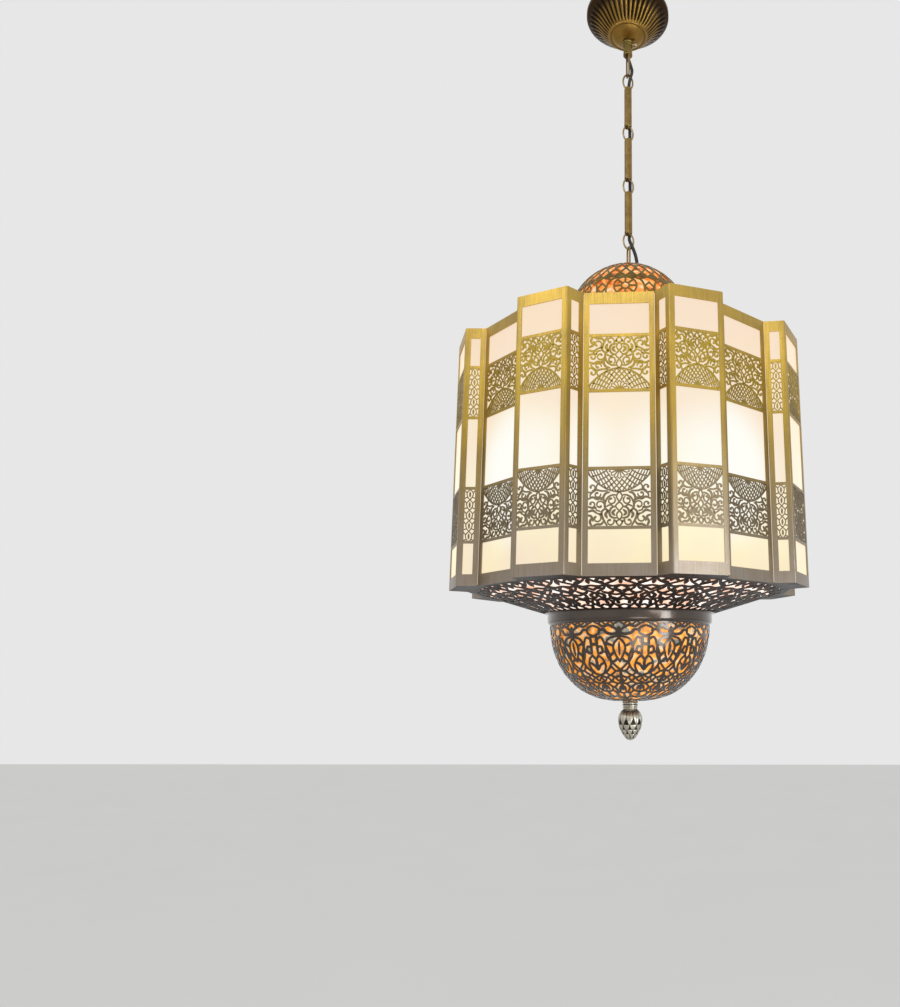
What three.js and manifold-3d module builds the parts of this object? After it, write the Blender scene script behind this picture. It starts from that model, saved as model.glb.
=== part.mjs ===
// Pierced brass lantern chandelier, hung from a ceiling canopy by a chain of rings and tube links.
// Millimetres, +Z up. The origin is on the ceiling face of the bracket, so everything hangs below zero.

import * as THREE from "three";
import { mergeVertices } from "three/addons/utils/BufferGeometryUtils.js";
import Module from "manifold-3d";

const wasm = await Module();
wasm.setup();

// Fits
const seatGap = 0.3;
const seamGap = 0.3;
const cutBeyond = 3;

// Sheet and pane thicknesses
const sheet = 1.2;
const paneThickness = 3;
const linerThickness = 1;

// Lantern body, a star prism of recessed faces and boxes that stand proud
const boxCount = 8;
const boxApothem = 225;
const boxStep = 23.6;
const boxWidth = 65.2;
const recessedApothem = boxApothem - boxStep;
const recessedWidth = 79.3;
const rimBand = 13.5;
const smallWindow = 36;
const piercedBand = 68;
const midWindow = 84;
const postWidth = 6.4;
const sidePostWidth = 6.6;

// Piercings of the body's bands
const bandMargin = 4.2;
const leafLength = 24;
const leafWidth = 9;
const fanLeafLength = 19;
const fanLeafWidth = 5;
const sprayLength = 40;
const sprayWidth = 14;
const sprayTurn = 0.45;
const sideLeafLength = 50;
const sideLeafWidth = 5.5;

// Shallow cones above and below the body
const coneInset = 5.4;
const coneRim = recessedApothem - coneInset;
const coneSlope = 0.3;
const coneSlotLength = 30;
const coneSlotWidth = 11;
const coneSlotCount = 16;

// Pierced bowl under the body
const bowlRadius = 104.9;
const bowlBandHeight = 12;
const bowlDepth = 95;
const bowlSeat = 11;
const bowlFullness = 0.86;
const bellySteps = 5;
const bowlHoleCount = 8;
const bowlDropLength = 44;
const bowlDropWidth = 26;
const bowlDropTurn = 0.45;
const bowlLeafTurn = 0.85;
const bowlBandStep = 3;
const bowlBandLip = 2;

// Pierced dome above the body
const domeRadius = 85;
const domeBandHeight = 16;
const domeHoleCount = 8;
const domeHoleRadius = 11;
const domeRoundTurn = 0.5;
const domePetalTurn = 0.95;

// Central spindle
const spindleRadius = 5;
const spindleFlangeRadius = 15;
const spindleFlangeHeight = 4;
const spindleTail = 26;
const spindleStopRadius = 9;
const spindleStopHeight = 3;
const boreClearance = 0.4;

// Finial, a turned neck and a pinecone
const finialNeckRadius = 9.4;
const finialNeckHeight = 11;
const coneBudRadius = 14.7;
const coneBudHeight = 36;

// Chain
const chainTurn = THREE.MathUtils.degToRad(20);
const wireRadius = 1.3;
const ringWidth = 17.4;
const ringHeight = 27.3;
const tubeRadius = 5.5;
const tubeWall = 1.2;
const tubeLength = 65.4;
const tubeCount = 3;
const eyeReach = 0.9;
const eyeLeg = 9;
const brazeDepth = 0.3;
const notchWidth = 5.2;
const notchDepth = 3.4;
const hookLoopWidth = 14;
const hookLoopHeight = 40;
const lampLoopHeight = 33;
const loopDiscRadius = 8.6;
const loopDiscHeight = 3;

// Ceiling canopy and its fixings
const canopyRadius = 61.7;
const canopyBand = 6;
const canopyDrop = 46.4;
const canopyBeadRadius = 27;
const canopyBeadDrop = 37;
const canopySheet = 1.6;
const fluteCount = 18;
const fluteDepth = 1.6;
const fluteBacking = 2.2;
const collarRadius = 6.6;
const collarHeight = 20.8;
const nippleRadius = 4.6;
const nippleBore = 3.1;
const nutRadius = 7.1;
const nutHeight = 3.2;
const bracketWidth = 96;
const bracketDepth = 22;
const bracketSheet = 3;
const stirrupDrop = 24;
const stirrupSpan = 30;
const fixingHoleRadius = 2.5;
const fixingHoleInset = 10;
const setScrewRadius = 2;
const setScrewLength = 9;
const setScrewHeadRadius = 3.4;
const setScrewHeadHeight = 4;
const setScrewDrop = 5.5;

// Flex
const cordRadius = 2.4;
const cordClearance = 1.2;
const cordSide = 5;
const cordBehind = 7.8;
const cordBeside = 1.8;
const cordSpare = 70;

// Lamp holders and bulbs
const lampCount = 3;
const lampArm = 82;
const lampHeight = 96;
const armRadius = 4;
const armSag = 8;
const hubRadius = 16;
const hubHeight = 14;
const holderRadius = 13;
const holderHeight = 46;
const bulbRadius = 19;
const bulbHeight = 96;
const bulbCapRadius = 9;
const bulbCapHeight = 22;

// Facets round turned work and wire
const shellFacets = 24;
const wireFacets = 6;
const turnedFacets = 14;
const holeFacets = 12;

// Finishes
const finish = (color, roughness, metalness) => ({ color, roughness, metalness });
const antiqueBrass = finish(0xb08a38, 0.38, 1);
const darkBronze = finish(0x4a3a2c, 0.45, 1);
const brightBrass = finish(0xd0b060, 0.25, 1);
const opalGlass = finish(0xfff1dc, 0.3, 0);
const amberSheet = finish(0xe07030, 0.4, 0);
const blackFlex = finish(0x241f20, 0.7, 0);
const zincSteel = finish(0x9a9a98, 0.4, 1);

// Levels worked out from the chain down
const ringPitch = ringHeight - 2 * wireRadius;
const linkLift = 2 * wireRadius + seatGap;
const canopyNeckEnd = -(canopyDrop + collarHeight);
const hookEye = canopyNeckEnd - seatGap - hookLoopHeight + wireRadius;

// One connection: the upper eye's wire, the ring's two arcs and the next eye's wire.
function hangFrom(eye) {
  const ringTop = eye + linkLift;
  const ringBottom = ringTop - ringPitch;
  return { eye, ringTop, ringBottom, nextEye: ringBottom + linkLift };
}

const connections = [hangFrom(hookEye)];
const tubes = [];
for (let i = 0; i < tubeCount; i += 1) {
  const upperEye = connections[i].nextEye;
  const top = upperEye - eyeReach;
  const bottom = top - tubeLength;
  tubes.push({ top, bottom, upperEye, lowerEye: bottom - eyeReach });
  connections.push(hangFrom(bottom - eyeReach));
}
const lampEye = connections[tubeCount].nextEye;
const lampLoopEnd = lampEye + wireRadius - lampLoopHeight;
const domeTop = lampLoopEnd - loopDiscHeight - seatGap;
const domeCentre = domeTop - domeRadius;
const domeBandEnd = domeCentre - domeBandHeight;
const bodyTop = domeBandEnd - coneSlope * (coneRim - domeRadius) - seatGap;
const bodyHeight = 2 * (rimBand + smallWindow + piercedBand) + midWindow;
const bodyBottom = bodyTop - bodyHeight;
const bowlRim = bodyBottom - coneSlope * (coneRim - bowlRadius + sheet);
const bowlBandEnd = bowlRim - bowlBandHeight;
const bowlEnd = bowlBandEnd - bowlDepth;

const hubLow = bodyBottom + lampHeight;
const spindleHole = spindleRadius + boreClearance;
const nippleHole = nippleRadius + boreClearance;
const cordDrop = loopDiscRadius + cordRadius + cordBeside;
const cordHoleRadius = cordRadius + cordClearance;
const setScrewLevel = -(canopyDrop + setScrewDrop);

// Solid helpers

function solid(geometry) {
  const bare = geometry.index ? geometry.toNonIndexed() : geometry.clone();
  bare.deleteAttribute("normal");
  bare.deleteAttribute("uv");
  const merged = mergeVertices(bare, 1e-4);
  return new wasm.Manifold(
    new wasm.Mesh({
      numProp: 3,
      vertProperties: new Float32Array(merged.attributes.position.array),
      triVerts: new Uint32Array(merged.index.array),
    }),
  );
}

function geometryOf(made) {
  const mesh = made.getMesh();
  const count = mesh.numVert;
  const positions = new Float32Array(count * 3);
  for (let i = 0; i < count; i += 1) {
    for (let j = 0; j < 3; j += 1) {
      positions[3 * i + j] = mesh.vertProperties[i * mesh.numProp + j];
    }
  }
  const geometry = new THREE.BufferGeometry();
  geometry.setAttribute("position", new THREE.BufferAttribute(positions, 3));
  geometry.setIndex(new THREE.BufferAttribute(new Uint32Array(mesh.triVerts), 1));
  geometry.computeVertexNormals();
  return geometry;
}

function join(pieces) {
  return pieces.reduce((whole, piece) => whole.add(piece));
}

function meshOf(name, made, look) {
  const mesh = new THREE.Mesh(geometryOf(made), new THREE.MeshStandardMaterial(look));
  mesh.name = name;
  return mesh;
}

// A turned solid from its half profile, whichever way round that is given.
function turned(profile, segments) {
  const points = profile.map(([r, z]) => new THREE.Vector2(r, z));
  if (THREE.ShapeUtils.area(points) < 0) points.reverse();
  const geometry = new THREE.LatheGeometry(points, segments);
  geometry.rotateX(Math.PI / 2);
  return solid(geometry);
}

function hollowTurned(profile, segments) {
  return turned([...profile, profile[0]], segments);
}

function pipe(outer, inner, low, high, segments) {
  return hollowTurned([[inner, low], [outer, low], [outer, high], [inner, high]], segments);
}

function rod(radius, low, high, segments) {
  return turned([[0, low], [radius, low], [radius, high], [0, high]], segments);
}

function prism(points, low, high) {
  const outline = new THREE.Shape(points.map(([x, y]) => new THREE.Vector2(x, y)));
  const geometry = new THREE.ExtrudeGeometry(outline, { depth: high - low, bevelEnabled: false });
  geometry.translate(0, 0, low);
  return solid(geometry);
}

function moved(geometry, x, y, z) {
  geometry.translate(x, y, z);
  return geometry;
}

function box(width, depth, low, high, x = 0, y = 0) {
  return solid(moved(new THREE.BoxGeometry(width, depth, high - low), x, y, (low + high) / 2));
}

// A closed wire swept round a flat loop of points in the plane of u and Z.
function wireLoop(centreline, radius, sides, across) {
  const along = new THREE.Vector3(-across.y, across.x, 0);
  const count = centreline.length;
  const positions = [];
  const faces = [];
  for (let i = 0; i < count; i += 1) {
    const before = centreline[(i + count - 1) % count];
    const after = centreline[(i + 1) % count];
    const tangent = new THREE.Vector2(after[0] - before[0], after[1] - before[1]).normalize();
    for (let j = 0; j < sides; j += 1) {
      const turn = (2 * Math.PI * (j + 0.5)) / sides;
      const out = radius * Math.cos(turn);
      const u = centreline[i][0] + out * tangent.y;
      const z = centreline[i][1] - out * tangent.x;
      const point = across.clone().multiplyScalar(u);
      point.addScaledVector(along, radius * Math.sin(turn));
      positions.push(point.x, point.y, z);
      const a = i * sides + j;
      const b = i * sides + ((j + 1) % sides);
      const c = ((i + 1) % count) * sides + j;
      const d = ((i + 1) % count) * sides + ((j + 1) % sides);
      faces.push(a, b, c, b, d, c);
    }
  }
  const geometry = new THREE.BufferGeometry();
  geometry.setAttribute("position", new THREE.Float32BufferAttribute(positions, 3));
  geometry.setIndex(faces);
  return solid(geometry);
}

// Points round an oval whose centreline is this wide and this tall.
function oval(width, height, middle, count) {
  return Array.from({ length: count }, (_, i) => {
    const turn = (2 * Math.PI * i) / count;
    return [(width / 2) * Math.cos(turn), middle + (height / 2) * Math.sin(turn)];
  });
}

function bentRod(points, radius, sides, steps) {
  const path = new THREE.CatmullRomCurve3(points.map((p) => new THREE.Vector3(...p)), false, "centripetal");
  const section = new THREE.Shape(
    Array.from({ length: sides }, (_, i) => {
      const turn = (2 * Math.PI * i) / sides;
      return new THREE.Vector2(radius * Math.cos(turn), radius * Math.sin(turn));
    }),
  );
  return solid(new THREE.ExtrudeGeometry(section, { steps, extrudePath: path, bevelEnabled: false }));
}

// Plan of the star

// The direction that face k looks in: even faces are recessed, odd faces front the boxes.
function faceAngle(k) {
  return (k * Math.PI) / boxCount;
}

function outward(angle) {
  return new THREE.Vector3(Math.sin(angle), -Math.cos(angle), 0);
}

function sideways(angle) {
  return new THREE.Vector3(Math.cos(angle), Math.sin(angle), 0);
}

function starOutline() {
  const corners = [];
  for (let k = 0; k < 2 * boxCount; k += 1) {
    const proud = k % 2 === 1;
    const apothem = proud ? boxApothem : recessedApothem;
    const half = (proud ? boxWidth : recessedWidth) / 2;
    for (const side of [-half, half]) {
      const corner = outward(faceAngle(k)).multiplyScalar(apothem);
      corner.addScaledVector(sideways(faceAngle(k)), side);
      corners.push([corner.x, corner.y]);
    }
  }
  return corners;
}

const star = starOutline();

// The star drawn in by a distance, corner for corner.
function starInset(distance) {
  const count = star.length;
  const edges = star.map(([x, y], i) => {
    const [nx, ny] = star[(i + 1) % count];
    const length = Math.hypot(nx - x, ny - y);
    const tx = (nx - x) / length;
    const ty = (ny - y) / length;
    return { x: x - distance * ty, y: y + distance * tx, tx, ty };
  });
  return edges.map((edge, i) => {
    const before = edges[(i + count - 1) % count];
    const cross = before.tx * edge.ty - before.ty * edge.tx;
    const reach = ((edge.x - before.x) * edge.ty - (edge.y - before.y) * edge.tx) / cross;
    return [before.x + reach * before.tx, before.y + reach * before.ty];
  });
}

// A strip between two insets of the star, from one corner to another, drawn back at both ends.
function strip(outerInset, innerInset, first, last) {
  const count = star.length;
  const outer = starInset(outerInset);
  const inner = starInset(innerInset);
  const at = (list, i) => list[(i + count) % count];
  const shift = (i, towards) => {
    const a = at(star, i);
    const b = at(star, towards);
    const length = Math.hypot(b[0] - a[0], b[1] - a[1]);
    return [((b[0] - a[0]) / length) * seamGap, ((b[1] - a[1]) / length) * seamGap];
  };
  const start = shift(first, first + 1);
  const end = shift(last, last - 1);
  const place = (list, i) => {
    const corner = at(list, i);
    const nudge = i === first ? start : i === last ? end : [0, 0];
    return [corner[0] + nudge[0], corner[1] + nudge[1]];
  };
  const points = [];
  for (let i = first; i <= last; i += 1) points.push(place(outer, i));
  for (let i = last; i >= first; i -= 1) points.push(place(inner, i));
  return points;
}

// Piercings

const broadLeaf = [[0, -0.5], [0.42, -0.2], [0.5, 0.1], [0, 0.5], [-0.5, 0.1], [-0.42, -0.2]];
const slimLeaf = [[0, -0.5], [0.5, 0], [0, 0.5], [-0.5, 0]];

// A pointed leaf, turned from upright.
function leaf(x, y, length, width, turn = 0, corners = broadLeaf) {
  return new THREE.Shape(
    corners.map(([u, v]) => {
      const point = new THREE.Vector2(u * width, v * length);
      point.rotateAround(new THREE.Vector2(0, 0), turn);
      return point.add(new THREE.Vector2(x, y));
    }),
  );
}

function rectangle(left, right, low, high) {
  return new THREE.Shape([
    new THREE.Vector2(left, low),
    new THREE.Vector2(right, low),
    new THREE.Vector2(right, high),
    new THREE.Vector2(left, high),
  ]);
}

// Levels in a plate, measured up from its foot.
const plateWindows = [
  [rimBand, rimBand + smallWindow],
  [rimBand + smallWindow + piercedBand, rimBand + smallWindow + piercedBand + midWindow],
  [bodyHeight - rimBand - smallWindow, bodyHeight - rimBand],
];
const plateBands = [
  { near: plateWindows[1][0], way: -1 },
  { near: plateWindows[1][1], way: 1 },
];

function windowsOf(half) {
  return plateWindows.map(([low, high]) => rectangle(-half, half, low, high));
}

// Each band has a leaf at its middle window and another at its far edge, between two splayed leaves.
function wideBand(half, { near, way }) {
  const fan = near + way * (bandMargin + fanLeafLength / 2);
  const far = near + way * (piercedBand - bandMargin - leafLength / 2);
  const middle = near + (way * piercedBand) / 2;
  const splay = sprayTurn * way;
  return [
    leaf(0, far, leafLength, leafWidth, 0, slimLeaf),
    leaf(0, fan, fanLeafLength, fanLeafWidth, 0, slimLeaf),
    leaf(-half / 2, middle, sprayLength, sprayWidth, splay, slimLeaf),
    leaf(half / 2, middle, sprayLength, sprayWidth, -splay, slimLeaf),
  ];
}

function sideBand({ near, way }) {
  return [leaf(0, near + (way * piercedBand) / 2, sideLeafLength, sideLeafWidth, 0, slimLeaf)];
}

function plateCutter(shapes, centre, tangent, normal) {
  const depth = 2 * (sheet + cutBeyond);
  const geometry = new THREE.ExtrudeGeometry(shapes, { depth, bevelEnabled: false });
  const place = new THREE.Matrix4().makeBasis(tangent, new THREE.Vector3(0, 0, 1), normal);
  place.setPosition(
    centre.x - (depth / 2) * normal.x,
    centre.y - (depth / 2) * normal.y,
    bodyBottom,
  );
  geometry.applyMatrix4(place);
  return solid(geometry);
}

function faceCutter(k, width) {
  const angle = faceAngle(k);
  const apothem = k % 2 ? boxApothem : recessedApothem;
  const half = width / 2 - postWidth;
  const shapes = [...windowsOf(half), ...plateBands.flatMap((band) => wideBand(half, band))];
  return plateCutter(shapes, outward(angle).multiplyScalar(apothem), sideways(angle), outward(angle));
}

function sideCutter(first) {
  const a = new THREE.Vector3(...star[first % star.length], 0);
  const b = new THREE.Vector3(...star[(first + 1) % star.length], 0);
  const tangent = b.clone().sub(a);
  const half = tangent.length() / 2 - sidePostWidth;
  tangent.normalize();
  const normal = new THREE.Vector3(tangent.y, -tangent.x, 0);
  const shapes = [...windowsOf(half), ...plateBands.flatMap((band) => sideBand(band))];
  return plateCutter(shapes, a.add(b).multiplyScalar(0.5), tangent, normal);
}

// Body panels

function recessedPanel(k) {
  const plate = prism(strip(0, sheet, 2 * k, 2 * k + 1), bodyBottom, bodyTop);
  return plate.subtract(faceCutter(k, recessedWidth));
}

function boxPanel(k) {
  const folded = prism(strip(0, sheet, 2 * k - 1, 2 * k + 2), bodyBottom, bodyTop);
  const cutters = [faceCutter(k, boxWidth), sideCutter(2 * k - 1), sideCutter(2 * k + 1)];
  return folded.subtract(join(cutters));
}

const paneOuter = sheet + seatGap;
const paneInner = paneOuter + paneThickness;
const paneLow = bodyBottom + sheet + seatGap;
const paneHigh = bodyTop - sheet - seatGap;

function flatPane(k) {
  return prism(strip(paneOuter, paneInner, 2 * k, 2 * k + 1), paneLow, paneHigh);
}

function foldedPane(k) {
  return prism(strip(paneOuter, paneInner, 2 * k - 1, 2 * k + 2), paneLow, paneHigh);
}

// Star plates close the body round the cones.
function starPlate(low) {
  const plate = prism(starInset(sheet + seatGap), low, low + sheet);
  return plate.subtract(rod(coneRim + seatGap, low - cutBeyond, low + sheet + cutBeyond, 2 * shellFacets));
}

// Turned shells

// A wall of this thickness under an outline of points that runs outwards or downwards.
function shell(outline, inside, facets = shellFacets) {
  return hollowTurned([...outline, ...inside.slice().reverse()], facets);
}

function radialCutter(shape, radius, level, tilt, turn) {
  const depth = 8 * cutBeyond;
  const geometry = new THREE.ExtrudeGeometry(shape, { depth, bevelEnabled: false });
  geometry.translate(0, 0, -depth / 2);
  geometry.rotateX(Math.PI / 2 - tilt);
  geometry.translate(0, -radius, level);
  geometry.rotateZ(turn);
  return solid(geometry);
}

function around(count, phase, make) {
  return join(Array.from({ length: count }, (_, i) => make(((i + phase) * 2 * Math.PI) / count)));
}

function coneShell(innerRadius, edge, way) {
  const drop = coneSlope * (coneRim - innerRadius);
  const wall = way * sheet;
  return shell(
    [[coneRim, edge], [innerRadius, edge - way * drop]],
    [[coneRim, edge + wall], [innerRadius, edge - way * drop + wall]],
  );
}

function pierceCone(cone, innerRadius, edge, way) {
  const middle = (coneRim + innerRadius) / 2;
  const level = edge - way * coneSlope * (coneRim - middle);
  const slot = leaf(0, 0, coneSlotLength, coneSlotWidth, 0, slimLeaf);
  const slots = around(coneSlotCount, 0.5, (turn) => radialCutter(slot, middle, level, Math.PI / 2, turn));
  return cone.subtract(slots);
}

function funnel() {
  const inner = bowlRadius - sheet;
  const cone = coneShell(inner, bodyBottom, 1);
  return pierceCone(cone, inner, bodyBottom, 1);
}

function roofCone() {
  const cone = coneShell(domeRadius - sheet, bodyTop, -1);
  return pierceCone(cone, domeRadius - sheet, bodyTop, -1);
}

// The round belly of the bowl, down to a flat seat for the finial.
function onBelly(turn, inset) {
  const reach = bowlRadius - bowlBandStep - inset - bowlSeat;
  const r = bowlSeat + reach * Math.max(Math.cos(turn), 0) ** bowlFullness;
  return [r, bowlBandEnd - (bowlDepth - inset) * Math.sin(turn)];
}

function bellyOutline(inset) {
  return Array.from({ length: bellySteps + 1 }, (_, i) => onBelly((i / bellySteps) * (Math.PI / 2), inset));
}

function bowl() {
  const line = (inset) => [
    [bowlRadius - inset, bowlRim - seatGap],
    [bowlRadius - inset, bowlBandEnd + bowlBandLip],
    ...bellyOutline(inset),
    [spindleHole, bowlEnd + inset],
  ];
  const drop = leaf(0, 0, bowlDropLength, bowlDropWidth);
  const small = leaf(0, 0, bowlDropLength / 2, bowlDropWidth / 2, 0, slimLeaf);
  const cutBelly = (shape, phase, down) =>
    around(bowlHoleCount, phase, (turn) => radialCutter(shape, ...onBelly(down, 0), -down, turn));
  return shell(line(0), line(sheet))
    .subtract(cutBelly(drop, 0, bowlDropTurn))
    .subtract(cutBelly(small, 0.5, bowlLeafTurn));
}

// A liner keeps every other corner of the shell it backs, so it lies inside that shell's facets.
function everyOther(list) {
  return list.filter((_, i) => i % 2 === 0);
}

function bowlLiner() {
  const back = sheet + seatGap;
  const line = (inset) => [
    [bowlRadius - inset, bowlRim - sheet - seatGap],
    ...everyOther(bellyOutline(inset)),
    [spindleHole, bowlEnd + inset],
  ];
  return shell(line(back), line(back + linerThickness), shellFacets / 2);
}

// The dome's round line, drawn in by an inset, from its band up to the spindle's hole.
function onDome(turn, inset) {
  const radius = domeRadius - inset;
  return [radius * Math.cos(turn), domeCentre + radius * Math.sin(turn)];
}

function domeOutline(inset) {
  const end = Math.acos(spindleHole / (domeRadius - inset));
  return Array.from({ length: bellySteps + 1 }, (_, i) => onDome((i / bellySteps) * end, inset));
}

function dome() {
  const line = (inset) => [[domeRadius - inset, domeBandEnd + seatGap], ...domeOutline(inset)];
  const round = leaf(0, 0, 2 * domeHoleRadius, 2 * domeHoleRadius, 0, slimLeaf);
  const petal = leaf(0, 0, 2 * domeHoleRadius, domeHoleRadius, 0, slimLeaf);
  const cutDome = (shape, phase, up) =>
    around(domeHoleCount, phase, (turn) => radialCutter(shape, ...onDome(up, 0), up, turn));
  return shell(line(0), line(sheet))
    .subtract(cutDome(round, 0, domeRoundTurn))
    .subtract(cutDome(petal, 0.5, domePetalTurn))
    .subtract(cordHole(domeTop - 4 * cutBeyond, domeTop + cutBeyond));
}

function domeLiner() {
  const back = sheet + seatGap;
  const line = (inset) => [
    [domeRadius - inset, domeCentre - domeBandHeight / 2],
    ...everyOther(domeOutline(inset)),
  ];
  return shell(line(back), line(back + linerThickness), shellFacets / 2);
}

// Chain

const across = new THREE.Vector3(Math.cos(chainTurn), Math.sin(chainTurn), 0);
const through = new THREE.Vector3(-Math.sin(chainTurn), Math.cos(chainTurn), 0);

function chainRing({ ringTop, ringBottom }) {
  const line = oval(ringWidth - 2 * wireRadius, ringPitch, (ringTop + ringBottom) / 2, 16);
  return wireLoop(line, wireRadius, wireFacets, across);
}

// The eye is half a small ring, whose legs run up into the tube and are brazed to its wall.
function tubeEye(level, way) {
  const half = tubeRadius - tubeWall - wireRadius + brazeDepth;
  const arc = Array.from({ length: 5 }, (_, i) => {
    const turn = (i / 4) * Math.PI;
    return [half * Math.cos(turn), level + way * half * (1 - Math.sin(turn))];
  });
  const line = [[half, level + way * eyeLeg], ...arc, [-half, level + way * eyeLeg]];
  const points = line.map(([u, z]) => [u * through.x, u * through.y, z]);
  return bentRod(points, wireRadius, wireFacets, 10);
}

function tubeLink({ top, bottom, upperEye, lowerEye }) {
  const sleeve = pipe(tubeRadius, tubeRadius - tubeWall, bottom, top, turnedFacets);
  const notch = (low, high) => {
    const geometry = new THREE.BoxGeometry(2 * (tubeRadius + cutBeyond), notchWidth, high - low);
    geometry.rotateZ(chainTurn);
    return solid(moved(geometry, 0, 0, (low + high) / 2));
  };
  const cut = sleeve
    .subtract(notch(top - notchDepth, top + cutBeyond))
    .subtract(notch(bottom - cutBeyond, bottom + notchDepth));
  return cut.add(tubeEye(upperEye, -1)).add(tubeEye(lowerEye, 1));
}

// A long loop in the plane across the rings, hung from or stood on a bored disc.
function longLoop(eye, discFace, way) {
  const half = hookLoopWidth / 2 - wireRadius;
  const straight = Math.abs(eye - discFace) - half;
  const arc = Array.from({ length: 9 }, (_, i) => {
    const turn = (i / 8) * Math.PI;
    return [half * Math.cos(turn), eye + way * half * (1 - Math.sin(turn))];
  });
  const end = discFace + way;
  const line = [[half, end], [half, end - way * straight * 0.5], ...arc,
    [-half, end - way * straight * 0.5], [-half, end]];
  return bentRod(line.map(([u, z]) => [u * through.x, u * through.y, z]), wireRadius, wireFacets, 20);
}

function hookLoop() {
  const discTop = canopyNeckEnd - seatGap;
  const discLow = discTop - loopDiscHeight;
  const nutLow = -stirrupDrop + bracketSheet + seatGap;
  const disc = pipe(loopDiscRadius, nippleBore, discLow, discTop, turnedFacets);
  const nipple = pipe(nippleRadius, nippleBore, discLow, nutLow + nutHeight, turnedFacets);
  const nut = pipe(nutRadius, nippleBore, nutLow, nutLow + nutHeight, turnedFacets);
  return join([disc, nipple, nut, longLoop(hookEye, discLow, 1)]);
}

function lampLoop() {
  const disc = rod(loopDiscRadius, lampLoopEnd - loopDiscHeight, lampLoopEnd, turnedFacets);
  return disc.add(longLoop(lampEye, lampLoopEnd, -1));
}

// Canopy

function ceilingBracket() {
  const strap = box(bracketWidth, bracketDepth, -bracketSheet, 0);
  const floor = box(stirrupSpan, bracketDepth, -stirrupDrop, -stirrupDrop + bracketSheet);
  const legs = [-1, 1].map((side) =>
    box(bracketSheet, bracketDepth, -stirrupDrop, -bracketSheet / 2,
      (side * (stirrupSpan - bracketSheet)) / 2));
  const bore = rod(nippleHole, -stirrupDrop - cutBeyond, -stirrupDrop + 2 * cutBeyond, turnedFacets);
  const holes = [-1, 1].map((side) => {
    const hole = rod(fixingHoleRadius, -bracketSheet - cutBeyond, cutBeyond, holeFacets);
    return hole.translate([side * (bracketWidth / 2 - fixingHoleInset), 0, 0]);
  });
  return join([strap, floor, ...legs]).subtract(bore).subtract(join(holes));
}

// The canopy's outer line, from the ceiling rim in to the collar.
function canopyOutline() {
  return [
    { r: canopyRadius, z: 0 },
    { r: canopyRadius, z: -canopyBand },
    { r: canopyRadius - 3, z: -canopyBand - 2 },
    { r: canopyRadius - 5, z: -canopyBand - 3, flute: true },
    { r: canopyRadius - 16, z: -canopyBand - 12, flute: true },
    { r: canopyBeadRadius + 8, z: -canopyBeadDrop + 6.5, flute: true },
    { r: canopyBeadRadius + 1.4, z: -canopyBeadDrop + 1.5 },
    { r: canopyBeadRadius, z: -canopyBeadDrop - 0.8 },
    { r: canopyBeadRadius - 1.6, z: -canopyBeadDrop },
    { r: 16, z: -canopyDrop + 4 },
    { r: collarRadius + 1, z: -canopyDrop },
  ];
}

function canopy() {
  const outer = canopyOutline();
  const profile = outer.map(({ r, z }) => [r, z]);
  profile.push([nippleHole, -canopyDrop]);
  profile.push([nippleHole, -canopyDrop + canopySheet]);
  profile.push([canopyBeadRadius, -canopyBeadDrop + 3.6]);
  const fluted = outer.filter((point) => point.flute);
  const overFlutes = fluted.map(({ r, z }) => [r, z + fluteDepth + fluteBacking]);
  profile.push(...overFlutes.reverse());
  profile.push([canopyRadius - canopySheet, -canopyBand + 1]);
  profile.push([canopyRadius - canopySheet, 0]);
  profile.push(profile[0]);
  const points = profile.map(([r, z]) => new THREE.Vector2(r, z));
  const geometry = new THREE.LatheGeometry(points.reverse(), 2 * fluteCount);
  geometry.rotateX(Math.PI / 2);
  const place = geometry.attributes.position;
  for (let i = 0; i < place.count; i += 1) {
    const r = Math.hypot(place.getX(i), place.getY(i));
    const z = place.getZ(i);
    const onFlute = fluted.some((p) => Math.abs(p.r - r) < 1e-3 && Math.abs(p.z - z) < 1e-3);
    const segment = Math.round((Math.atan2(place.getY(i), place.getX(i)) / Math.PI) * fluteCount);
    if (onFlute && Math.abs(segment) % 2 === 1) place.setZ(i, z + fluteDepth);
  }
  return solid(geometry);
}

function canopyCollar() {
  const top = -canopyDrop - seatGap;
  const made = hollowTurned([
    [nippleHole, canopyNeckEnd],
    [collarRadius, canopyNeckEnd],
    [collarRadius, top - 8],
    [collarRadius + 1.2, top - 7],
    [collarRadius, top - 6],
    [collarRadius, top - 4],
    [collarRadius + 1.8, top - 2.5],
    [collarRadius + 1, top],
    [nippleHole, top],
  ], turnedFacets);
  const hole = rod(setScrewRadius + seatGap, 0, 2 * collarRadius, holeFacets).rotate([0, 90, 0]);
  return made.subtract(hole.translate([nippleRadius, 0, setScrewLevel]));
}

function setScrew() {
  const start = nippleRadius + seatGap;
  const end = start + setScrewLength;
  const headLow = end - setScrewHeadHeight;
  const shank = rod(setScrewRadius, start, headLow + 1, holeFacets);
  const head = turned([
    [0, headLow],
    [setScrewHeadRadius, headLow],
    [setScrewHeadRadius, end - 1],
    [setScrewHeadRadius - 1, end],
    [0, end],
  ], turnedFacets);
  return shank.add(head).rotate([0, 90, 0]).translate([0, 0, setScrewLevel]);
}

// Flex

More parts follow.
